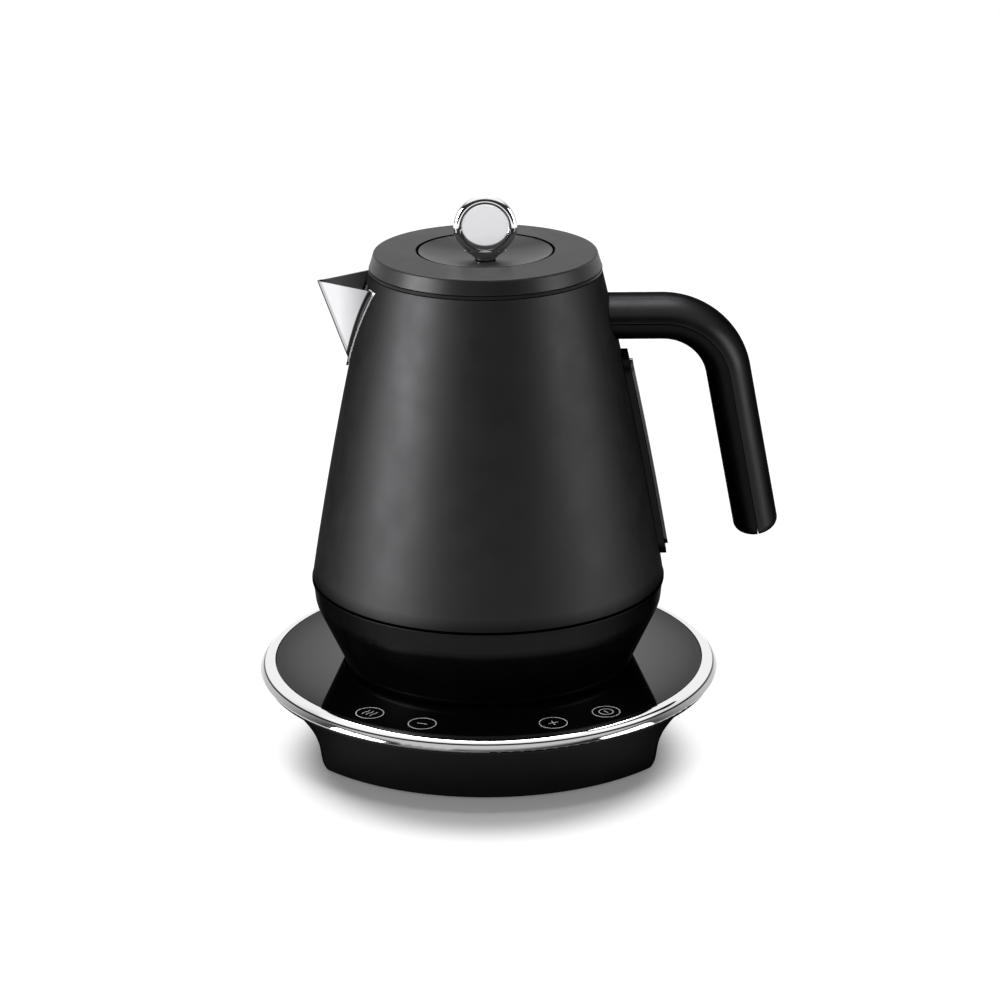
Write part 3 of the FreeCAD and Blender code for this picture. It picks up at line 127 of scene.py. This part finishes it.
def rescale(tree, value, start, end, low=0.0, high=1.0, curve="LINEAR"):
    """A value's stretch from start to end, brought to the range from low to high."""
    return add_node(tree, "ShaderNodeMapRange", {
        "Value": value, "From Min": start, "From Max": end, "To Min": low, "To Max": high},
        interpolation_type=curve).outputs["Result"]


def noise(tree, grain, detail=3.0, stretch=(1, 1, 1)):
    """Noise whose lumps are about grain metres across."""
    return add_node(tree, "ShaderNodeTexNoise", {
        "Vector": places(tree, stretch), "Scale": 1 / grain, "Detail": detail}).outputs["Fac"]


def spread(tree, factor, low, high):
    """Maps the middle of a noise to a range of values."""
    return rescale(tree, factor, 0.3, 0.7, low, high)


def tint(tree, factor, dark, light):
    """A colour between two colours."""
    made = add_node(tree, "ShaderNodeValToRGB", {"Fac": factor})
    made.color_ramp.elements[0].color = (*dark, 1)
    made.color_ramp.elements[1].color = (*light, 1)
    return made.outputs["Color"]


def ramp(tree, factor, stops):
    """A grey that follows stops of place and level."""
    made = add_node(tree, "ShaderNodeValToRGB", {"Fac": factor})
    steps = made.color_ramp.elements
    while len(steps) < len(stops):
        steps.new(1.0)
    for step, (place, level) in zip(steps, stops):
        step.position = place
        step.color = (level, level, level, 1)
    return made.outputs["Color"]


def product(tree, first, second):
    """Two colours, or two vectors, multiplied."""
    made = add_node(tree, "ShaderNodeVectorMath", {0: first, 1: second}, operation="MULTIPLY")
    return made.outputs["Vector"]


def bump(tree, shader, height, depth, edge=0.0):
    """Surface grain of a depth in metres, over edges rounded by a small radius."""
    made = add_node(tree, "ShaderNodeBump", {"Height": height, "Distance": depth, "Strength": 1.0})
    if edge:
        rounded = add_node(tree, "ShaderNodeBevel", {"Radius": edge}, samples=4)
        tree.links.new(rounded.outputs["Normal"], made.inputs["Normal"])
    tree.links.new(made.outputs["Normal"], shader.inputs["Normal"])


def satin(name, dark, light, roughness, grain=0.5 * MM, depth=0.003 * MM):
    """A satin black finish with a fine grain, whose gloss is tinted dark at grazing angles: a painted shade
    that keeps it dark towards the outline.
    """
    material, tree, shader = new_material(name)
    shader.inputs["Metallic"].default_value = 1.0
    # Painted shade: a dark tint of the gloss at grazing angles keeps the outline dark
    shader.inputs["Specular Tint"].default_value = (EDGE_TONE, EDGE_TONE, EDGE_TONE, 1)
    tree.links.new(tint(tree, noise(tree, MOTTLE, 4.0), dark, light), shader.inputs["Base Color"])
    tree.links.new(spread(tree, noise(tree, GLOSS_PATCH), *roughness), shader.inputs["Roughness"])
    bump(tree, shader, noise(tree, grain, 2.0), depth, EDGE_ROUND)
    return material


def moulded(name, dark, light, roughness, grain, depth, level=0.5):
    """Paint or moulded plastic: two near colours, uneven gloss and a fine grain."""
    material, tree, shader = new_material(name)
    tree.links.new(tint(tree, noise(tree, MOTTLE, 4.0), dark, light), shader.inputs["Base Color"])
    tree.links.new(spread(tree, noise(tree, GLOSS_PATCH), *roughness), shader.inputs["Roughness"])
    shader.inputs["Specular IOR Level"].default_value = level
    bump(tree, shader, noise(tree, grain, 2.0), depth, EDGE_ROUND)
    return material


def metal(name, dark, light, roughness, stretch=(1, 1, 1), grain=SMEAR, depth=0.0, edge=0.0):
    """Metal with faint smears in its gloss and, where drawn, fine brushing."""
    material, tree, shader = new_material(name)
    shader.inputs["Metallic"].default_value = 1.0
    smear = noise(tree, grain, 4.0, stretch)
    tree.links.new(tint(tree, smear, dark, light), shader.inputs["Base Color"])
    tree.links.new(spread(tree, smear, *roughness), shader.inputs["Roughness"])
    if depth or edge:
        bump(tree, shader, smear, depth, edge)
    return material


def knob_material():
    """Chrome with a satin oval inside the ring of the knob, pale and barely metallic, which also stands in
    as a painted reflection of white on its face.
    """
    low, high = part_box("lid_knob")
    half_width = (high.x - low.x) / 2
    oval = (0.725 * half_width, 0.625 * half_width)
    middle = (0, 0, high.z - 0.95 * half_width)
    material, tree, shader = new_material("knob_chrome")
    offset = add_node(tree, "ShaderNodeVectorMath", {0: places(tree), 1: middle}, operation="SUBTRACT")
    flat = product(tree, offset.outputs["Vector"], (1 / oval[0], 0, 1 / oval[1]))
    away = add_node(tree, "ShaderNodeVectorMath", {0: flat}, operation="LENGTH").outputs["Value"]
    ring = rescale(tree, away, 0.98, 1.05)
    smear = noise(tree, SMEAR, 4.0)
    tree.links.new(tint(tree, smear, (0.88, 0.88, 0.90), (0.94, 0.94, 0.96)), shader.inputs["Base Color"])
    # Inside the oval: rough and pale, partly a satin finish and partly a painted reflection of white
    tree.links.new(rescale(tree, ring, 0.0, 1.0, 0.35, 0.045), shader.inputs["Roughness"])
    tree.links.new(rescale(tree, ring, 0.0, 1.0, 0.05, 1.0), shader.inputs["Metallic"])
    return material


def paint_material():
    """Satin paint, with painted shade darkening it where the jug rolls under at its foot."""
    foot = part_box("skirt")[1].z
    roll = 7 * MM
    material = satin("painted_steel", (0.029, 0.029, 0.030), (0.033, 0.033, 0.034), (0.49, 0.55))
    tree = material.node_tree
    colour = tree.nodes["Principled BSDF"].inputs["Base Color"]
    # Painted shade: the paint darkens to 0.3 at the foot and rises to full over the roll
    share = rescale(tree, axes(tree)["Z"], foot, foot + roll)
    shade = ramp(tree, share, [(0.0, 0.30), (1.0, 1.0)])
    tree.links.new(product(tree, colour.links[0].from_socket, shade), colour)
    return material


def lid_material():
    """Lid plastic with a painted sheen, stronger on its rim than on its top."""
    material = moulded("lid_cap_plastic", (0.0095, 0.0095, 0.0100), (0.0115, 0.0115, 0.0120),
                       (0.36, 0.44), 0.7 * MM, 0.012 * MM)
    tree = material.node_tree
    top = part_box("lid_cap")[1].z
    edge = (top - 1.6 * MM, top - 0.8 * MM)
    # Painted sheen: gloss set by height, strong on the rim and weak on the top
    sheen = rescale(tree, axes(tree)["Z"], *edge, 0.28, 0.10)
    tree.links.new(sheen, tree.nodes["Principled BSDF"].inputs["Specular IOR Level"])
    return material


def dish_material():
    """Plastic of the lid's dish, with a painted sheen that is stronger towards the front, and a dark seam
    round it that is painted shade.
    """
    low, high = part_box("lid_insert")
    radius = (high.x - low.x) / 2
    front, back = -0.8 * radius, 0.5 * radius
    material, tree, shader = new_material("dish_plastic")
    # Painted shade: the seam round the dish's edge is black and without gloss, where the gap to the lid
    # lies in shade
    seam = ramp(tree, rescale(tree, from_axis(tree), 0.0, radius), [(0.965, 1.0), (0.975, 0.0)])
    mottle = tint(tree, noise(tree, MOTTLE, 4.0), (0.0100, 0.0100, 0.0105), (0.0120, 0.0120, 0.0125))
    tree.links.new(product(tree, mottle, seam), shader.inputs["Base Color"])
    # Painted sheen: gloss stronger at the front of the dish than at its back
    sheen = rescale(tree, axes(tree)["Y"], front, back, 0.50, 0.06)
    tree.links.new(maths(tree, "MULTIPLY", seam, sheen), shader.inputs["Specular IOR Level"])
    tree.links.new(spread(tree, noise(tree, GLOSS_PATCH), 0.36, 0.44), shader.inputs["Roughness"])
    bump(tree, shader, noise(tree, 0.7 * MM, 2.0), 0.012 * MM)
    return material


def spout_material():
    """Chrome sheet with a satin flange, pale as a painted highlight of its edge, and painted shade and
    reflection that make it darker in the bend, along the nose, towards the body and inside.
    """
    body_taper = 0.2247
    body_reach = 101.49 * MM
    band = 5 * MM
    tip_side, body_side = -66.5 * MM, -54 * MM
    material, tree, shader = new_material("spout_chrome")
    parts = axes(tree)
    slope = maths(tree, "MULTIPLY_ADD", parts["Z"], body_taper, from_axis(tree))
    clear = rescale(tree, slope, body_reach, body_reach + band)
    # Painted shade: a dark band in the bend between the beak and the flange
    bend = ramp(tree, clear, [(0.0, 1.0), (0.16, 1.0), (0.20, 0.02), (0.41, 0.02), (0.49, 1.0)])
    wide = rescale(tree, maths(tree, "ABSOLUTE", parts["Y"]), 0.0, band)
    # Painted reflection: a dark line along the nose, with a grey band beside it
    nose = ramp(tree, wide, [(0.0, 0.02), (0.35, 0.03), (0.39, 0.60), (0.57, 0.75), (0.63, 1.0)])
    normal = add_node(tree, "ShaderNodeTexCoord").outputs["Normal"]
    lean = add_node(tree, "ShaderNodeVectorMath", {0: normal, 1: product(tree, places(tree), (0, 1, 0))},
                    operation="DOT_PRODUCT").outputs["Value"]
    outside = rescale(tree, lean, -0.3 * MM, -0.1 * MM)
    # The flange is made pale and barely metallic: a satin flange and a painted highlight along its edge
    plating = ramp(tree, clear, [(0.16, 0.1), (0.20, 1.0)])
    tree.links.new(product(tree, plating, outside), shader.inputs["Metallic"])
    # Painted shade: the face darkens towards the body, outside the flange
    near = rescale(tree, parts["X"], tip_side, body_side, 1.0, 0.48)
    flange = ramp(tree, clear, [(0.16, 1.0), (0.20, 0.0)])
    shade = maths(tree, "MAXIMUM", near, flange)
    # Painted shade inside the beak: its inner walls darker
    inside_painted_shade = ramp(tree, outside, [(0.0, 0.45), (1.0, 1.0)])
    smear = noise(tree, SMEAR, 4.0)
    sheet = tint(tree, smear, (0.82, 0.82, 0.84), (0.90, 0.90, 0.92))
    lines = product(tree, bend, nose)
    painted_shades = product(tree, shade, inside_painted_shade)
    tree.links.new(product(tree, sheet, product(tree, lines, painted_shades)), shader.inputs["Base Color"])
    tree.links.new(spread(tree, smear, 0.05, 0.09), shader.inputs["Roughness"])
    return material


def ring_material():
    """Bright ring with a fine dark line and a darker band round its outer side, both painted shade and
    reflection of its rounded crown.
    """
    low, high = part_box("trim_ring")
    outer = (high.x - low.x) / 2
    width = 7 * MM
    material, tree, shader = new_material("ring_chrome")
    shader.inputs["Metallic"].default_value = 1.0
    share = rescale(tree, from_axis(tree), outer - width, outer)
    # Painted shade and reflection: a dark line, then a darker outer band
    painted_bands = ramp(tree, share, [(0.69, 1.0), (0.71, 0.03), (0.78, 0.03), (0.80, 0.55)])
    smear = noise(tree, SMEAR, 4.0)
    sheet = tint(tree, smear, (0.92, 0.92, 0.93), (0.97, 0.97, 0.98))
    tree.links.new(product(tree, sheet, painted_bands), shader.inputs["Base Color"])
    tree.links.new(spread(tree, smear, 0.035, 0.07), shader.inputs["Roughness"])
    return material


def glass_material():
    """Polished black glass with a little dust in its gloss, and a painted sheen that weakens outwards."""
    inner, outer = 62 * MM, 97 * MM
    material, tree, shader = new_material("dark_glass")
    dust = noise(tree, 1.2 * MM, 5.0)
    tree.links.new(tint(tree, dust, (0.0006, 0.0006, 0.0008), (0.0014, 0.0014, 0.0018)),
                   shader.inputs["Base Color"])
    tree.links.new(spread(tree, noise(tree, 30 * MM), 0.015, 0.035), shader.inputs["Roughness"])
    # Painted sheen: gloss falls from the kettle outwards
    sheen = rescale(tree, from_axis(tree), inner, outer, 0.50, 0.10)
    tree.links.new(sheen, shader.inputs["Specular IOR Level"])
    return material


def clear_material():
    """Smoke-tinted moulding of the water gauge, with painted light that makes it paler towards its top."""
    low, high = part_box("gauge_window")
    material, tree, shader = new_material("clear_plastic")
    tree.links.new(spread(tree, noise(tree, SMEAR), 0.06, 0.14), shader.inputs["Roughness"])
    # Painted light: the colour pales from the middle of the window to its top
    painted_top_light = rescale(tree, axes(tree)["Z"], (low.z + high.z) / 2, high.z)
    tree.links.new(tint(tree, painted_top_light, (0.012, 0.012, 0.013), (0.16, 0.16, 0.17)), shader.inputs["Base Color"])
    shader.inputs["Transmission Weight"].default_value = 0.30
    shader.inputs["IOR"].default_value = 1.49
    return material


def board_material():
    """Circuit board: solder mask with paler tracks in a fine grid."""
    material, tree, shader = new_material("circuit_board")
    tracks = add_node(tree, "ShaderNodeTexBrick", {
        "Vector": places(tree), "Scale": 220.0, "Mortar Size": 0.04,
        "Color1": (0.012, 0.075, 0.030, 1), "Color2": (0.010, 0.060, 0.025, 1),
        "Mortar": (0.040, 0.160, 0.075, 1)}).outputs["Color"]
    tree.links.new(tracks, shader.inputs["Base Color"])
    tree.links.new(spread(tree, noise(tree, 4 * MM), 0.30, 0.45), shader.inputs["Roughness"])
    return material


def print_material():
    """Pale screen print, a little uneven in tone."""
    material, tree, shader = new_material("key_print")
    tone = noise(tree, 2 * MM, 3.0)
    tree.links.new(tint(tree, tone, (0.50, 0.50, 0.52), (0.62, 0.62, 0.64)), shader.inputs["Base Color"])
    shader.inputs["Roughness"].default_value = 0.6
    return material


def make_materials():
    """One material for each slot of the record."""
    return {
        "painted_steel": paint_material(),
        "lid_plastic": moulded("lid_plastic", (0.0095, 0.0095, 0.0100), (0.0115, 0.0115, 0.0120),
                               (0.36, 0.44), 0.7 * MM, 0.012 * MM, 0.10),
        "black_plastic": satin("black_plastic", (0.012, 0.012, 0.0125), (0.015, 0.015, 0.0155),
                               (0.35, 0.42), 0.8 * MM, 0.020 * MM),
        "bright_chrome": ring_material(),
        "dark_glass": glass_material(),
        "clear_plastic": clear_material(),
        "foot_rubber": moulded("foot_rubber", (0.012, 0.012, 0.012), (0.022, 0.022, 0.022),
                               (0.75, 0.90), 0.5 * MM, 0.02 * MM),
        "pale_silicone": moulded("pale_silicone", (0.46, 0.46, 0.44), (0.56, 0.56, 0.54),
                                 (0.50, 0.62), 1.0 * MM, 0.01 * MM),
        "foam_gasket": moulded("foam_gasket", (0.015, 0.015, 0.015), (0.040, 0.040, 0.040),
                               (0.85, 0.95), 0.4 * MM, 0.05 * MM),
        "plain_steel": metal("plain_steel", (0.48, 0.48, 0.48), (0.62, 0.62, 0.62), (0.22, 0.36),
                             (1, 1, 14), 4 * MM, 0.003 * MM, 0.3 * MM),
        "element_steel": metal("element_steel", (0.20, 0.18, 0.16), (0.38, 0.36, 0.34), (0.35, 0.55)),
        "spreader_aluminium": metal("spreader_aluminium", (0.58, 0.58, 0.59), (0.70, 0.70, 0.71),
                                    (0.35, 0.5)),
        "contact_brass": metal("contact_brass", (0.62, 0.45, 0.18), (0.76, 0.58, 0.28), (0.25, 0.4)),
        "circuit_board": board_material(),
        "component_plastic": moulded("component_plastic", (0.018, 0.018, 0.020), (0.030, 0.030, 0.033),
                                     (0.30, 0.40), 1.0 * MM, 0.01 * MM),
    }


def dress_nodes(materials):
    """Gives every CAD node its own material or that of its slot."""
    handle = satin("handle_plastic", (0.021, 0.021, 0.022), (0.026, 0.026, 0.027),
                   (0.36, 0.44), 0.7 * MM, 0.010 * MM)
    # The inner half is a darker copy of the handle's plastic, as painted shade
    inner_half_painted_shade = satin("handle_inner_shaded_plastic", (0.008, 0.008, 0.0085), (0.011, 0.011, 0.0115),
                 (0.40, 0.48), 0.7 * MM, 0.010 * MM)
    own = {"spout": spout_material(), "lid_knob": knob_material(),
           "lid_insert": dish_material(), "lid_cap": lid_material(),
           "handle_outer": handle, "handle_inner": inner_half_painted_shade}
    for part in frame["record"]["subparts"]:
        mesh = nodes[part["node"]].data
        mesh.materials.clear()
        mesh.materials.append(own.get(part["node"], materials[part["material_slot"]]))


def strips(name, lines, width, height, place):
    """A closed thin solid along each line of flat points, stood up by place(x, y, lift)."""
    points = []
    faces = []
    for line in lines:
        closed = line[0] == line[-1]
        path = line[:-1] if closed else line
        first = len(points)
        count = len(path)
        for i, here in enumerate(path):
            before = path[i - 1] if closed or i else here
            after = path[(i + 1) % count] if closed or i + 1 < count else here
            run = Vector((after[0] - before[0], after[1] - before[1])).normalized()
            side = Vector((-run.y, run.x)) * width / 2
            for lift in (0, height):
                points.append(place(here[0] + side.x, here[1] + side.y, lift))
                points.append(place(here[0] - side.x, here[1] - side.y, lift))
        spans = count if closed else count - 1
        for i in range(spans):
            a = first + 4 * i
            b = first + 4 * ((i + 1) % count)
            faces += [(a, a + 1, b + 1, b), (a + 2, b + 2, b + 3, a + 3),
                      (a, b, b + 2, a + 2), (a + 1, a + 3, b + 3, b + 1)]
        if not closed:
            end = first + 4 * (count - 1)
            faces += [(first, first + 2, first + 3, first + 1), (end, end + 1, end + 3, end + 2)]
    mesh = bpy.data.meshes.new(name)
    mesh.from_pydata(points, [], faces)
    mesh.validate()
    shell = bmesh.new()
    shell.from_mesh(mesh)
    bmesh.ops.recalc_face_normals(shell, faces=shell.faces)
    shell.to_mesh(mesh)
    shell.free()
    piece = bpy.data.objects.new(name, mesh)
    bpy.context.scene.collection.objects.link(piece)
    return piece


def arc(radius, start, end, steps):
    """Points of an arc about the origin, with angles in degrees."""
    turns = [math.radians(start + (end - start) * i / steps) for i in range(steps + 1)]
    return [(radius * math.cos(t), radius * math.sin(t)) for t in turns]


def circle(radius):
    """A closed circle about the origin."""
    points = arc(radius, 0, 360, CIRCLE_STEPS)
    points[-1] = points[0]
    return points


def key_symbol(name):
    """Lines of a key's symbol, upright about the origin."""
    bar = 2.3 * MM
    power_ring = 3.2 * MM
    power_bar = 1.5 * MM
    if name == "minus":
        return [[(-bar, 0), (bar, 0)]]
    if name == "plus":
        edge = KEY_LINE / 2
        return [[(-bar, 0), (bar, 0)], [(0, edge), (0, bar)], [(0, -edge), (0, -bar)]]
    if name == "power":
        return [circle(power_ring), [(0, -power_bar), (0, power_bar)]]
    wave_height = 5.2 * MM
    wave_swing = 0.30 * MM
    wave_pitch = 2.15 * MM
    wave_steps = 24
    lean = 0.04
    rises = [wave_height * (i / wave_steps - 0.5) for i in range(wave_steps + 1)]
    swings = [lean * y + wave_swing * math.sin(2 * math.pi * y / wave_height) for y in rises]
    return [[(lane * wave_pitch + x, y) for x, y in zip(swings, rises)] for lane in (-1, 0, 1)]


def print_keys(material):
    """The four touch keys, each a ring with its symbol, set round the front of the glass."""
    for name, degrees in KEY_ANGLES.items():
        turn = math.radians(degrees)
        centre = Vector((KEY_CIRCLE * math.sin(turn), -KEY_CIRCLE * math.cos(turn), GLASS_TOP))
        right = Vector((math.cos(turn), math.sin(turn), 0))
        inward = Vector((-math.sin(turn), math.cos(turn), 0))

        def on_glass(x, y, lift):
            return centre + right * x + inward * y + Vector((0, 0, lift))

        piece = strips(f"key_print_{name}", [circle(KEY_RING), *key_symbol(name)],
                       KEY_LINE, KEY_PRINT_HEIGHT, on_glass)
        piece.data.materials.append(material)
        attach(piece, "power_base")


def close_handle_seam(material):
    """A tongue inside the hollow handle, and a shim in its solid end, behind the seam of the halves."""
    across, up = HANDLE_HUB
    bend = [(across + x, up + z) for x, z in arc(HANDLE_BEND, 90, HANDLE_TILT, CIRCLE_STEPS)]
    lean = math.radians(HANDLE_TILT)

    def down_leg(run):
        return bend[-1][0] + run * math.sin(lean), bend[-1][1] - run * math.cos(lean)

    def add_strip(name, line, width, reach):
        def in_handle(x, z, lift):
            return Vector((x, lift - reach / 2, z))

        piece = strips(name, [line], width, reach, in_handle)
        piece.data.materials.append(material)
        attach(piece, "kettle")

    hollow_end = HANDLE_LEG - HANDLE_CAP
    add_strip("handle_tongue", [*bend, down_leg(hollow_end)], TONGUE_WIDTH, TONGUE_REACH)
    end = [down_leg(hollow_end), down_leg(HANDLE_LEG - SHIM_INSET)]
    add_strip("handle_shim", end, SHIM_WIDTH, SHIM_REACH)


def make_camera():
    """The photograph's camera."""
    data = bpy.data.cameras.new("camera")
    data.lens = CAMERA_LENS
    data.sensor_width = CAMERA_SENSOR
    camera = bpy.data.objects.new("camera", data)
    pitch = Matrix.Rotation(math.radians(90 - CAMERA_PITCH), 4, "X")
    roll = Matrix.Rotation(math.radians(-CAMERA_ROLL), 4, "Z")
    camera.matrix_world = Matrix.Translation(CAMERA_PLACE) @ pitch @ roll
    bpy.context.scene.collection.objects.link(camera)
    bpy.context.scene.camera = camera


def seen_rays(tree):
    """1 for rays of the camera, of gloss and of transmission, else 0."""
    rays = add_node(tree, "ShaderNodeLightPath").outputs
    direct = maths(tree, "MAXIMUM", rays["Is Camera Ray"], rays["Is Glossy Ray"])
    return maths(tree, "MAXIMUM", direct, rays["Is Transmission Ray"])


def make_world():
    """White to the camera; to gloss, white behind and above the object and a dark studio in front."""
    ambient = 0.15
    studio = 0.03
    world = bpy.data.worlds.new("world")
    bpy.context.scene.world = world
    world.use_nodes = True
    tree = world.node_tree
    rays = add_node(tree, "ShaderNodeLightPath").outputs
    towards = add_node(tree, "ShaderNodeTexCoord").outputs["Generated"]
    way = add_node(tree, "ShaderNodeSeparateXYZ", {"Vector": towards}).outputs
    behind = rescale(tree, way["Y"], -0.15, 0.75, studio, 0.92, "SMOOTHSTEP")
    overhead = rescale(tree, way["Z"], 0.55, 0.75, studio, 1.0, "SMOOTHSTEP")
    gloss = maths(tree, "MAXIMUM", behind, overhead)
    lit = add_node(tree, "ShaderNodeMix", {"Factor": rays["Is Glossy Ray"], "A": ambient, "B": gloss})
    seen = maths(tree, "MAXIMUM", rays["Is Camera Ray"], rays["Is Transmission Ray"])
    strength = add_node(tree, "ShaderNodeMix", {"Factor": seen, "A": lit.outputs["Result"], "B": 1.0})
    background = tree.nodes["Background"]
    background.inputs["Color"].default_value = (1, 1, 1, 1)
    tree.links.new(strength.outputs["Result"], background.inputs["Strength"])


def make_floor():
    """A pale floor that shows white and keeps the object's shadow."""
    radius = 1.4
    level = -0.05 * MM
    glow = 0.15
    fade = (0.072, 0.101)
    shade_place = (0, -0.050, 0)
    mesh = bpy.data.meshes.new("floor")
    mesh.from_pydata([(x, y, level) for x, y in circle(radius)[:-1]], [], [tuple(range(CIRCLE_STEPS))])
    floor = bpy.data.objects.new("floor", mesh)
    bpy.context.scene.collection.objects.link(floor)
    material, tree, shader = new_material("floor")
    shader.inputs["Roughness"].default_value = 1.0
    shader.inputs["Specular IOR Level"].default_value = 0.0
    shader.inputs["Emission Color"].default_value = (1, 1, 1, 1)
    away = add_node(tree, "ShaderNodeVectorMath", {0: places(tree), 1: shade_place},
                    operation="DISTANCE").outputs["Value"]
    far = rescale(tree, away, *fade, curve="SMOOTHSTEP")
    tree.links.new(tint(tree, far, (0.8, 0.8, 0.8), (0.1, 0.1, 0.1)), shader.inputs["Base Color"])
    lift = maths(tree, "MULTIPLY", seen_rays(tree), rescale(tree, far, 0.0, 1.0, glow, 1.0))
    tree.links.new(lift, shader.inputs["Emission Strength"])
    mesh.materials.append(material)
    return floor


def make_lamp(name, place, target, size, watts, skips=None):
    """A soft box at place, turned to target, which lights all but the thing that it skips."""
    data = bpy.data.lights.new(name, "AREA")
    data.shape = "RECTANGLE"
    data.size, data.size_y = size
    data.energy = watts
    lamp = bpy.data.objects.new(name, data)
    lamp.location = place
    lamp.rotation_euler = (Vector(target) - Vector(place)).to_track_quat("-Z", "Y").to_euler()
    bpy.context.scene.collection.objects.link(lamp)
    if skips:
        skipped = bpy.data.collections.new(f"{name}_skips")
        skipped.objects.link(skips)
        skipped.collection_objects[0].light_linking.link_state = "EXCLUDE"
        lamp.light_linking.receiver_collection = skipped


def make_lamps(floor):
    """A broad box on the left, a weaker one on the right and one overhead."""
    middle = (0, 0, 0.13)
    make_lamp("left_box", (-1.40, -0.56, 0.40), middle, (0.75, 1.0), 42, floor)
    make_lamp("right_box", (1.42, -0.46, 0.40), middle, (0.75, 1.0), 14, floor)
    make_lamp("top_box", (0, 0.75, 1.5), middle, (1.0, 1.0), 28)


def main():
    """Builds the looks round the frame."""
    bpy.context.scene.view_settings.view_transform = "Standard"
    materials = make_materials()
    dress_nodes(materials)
    print_keys(print_material())
    close_handle_seam(materials["black_plastic"])
    make_camera()
    make_world()
    make_lamps(make_floor())


main()
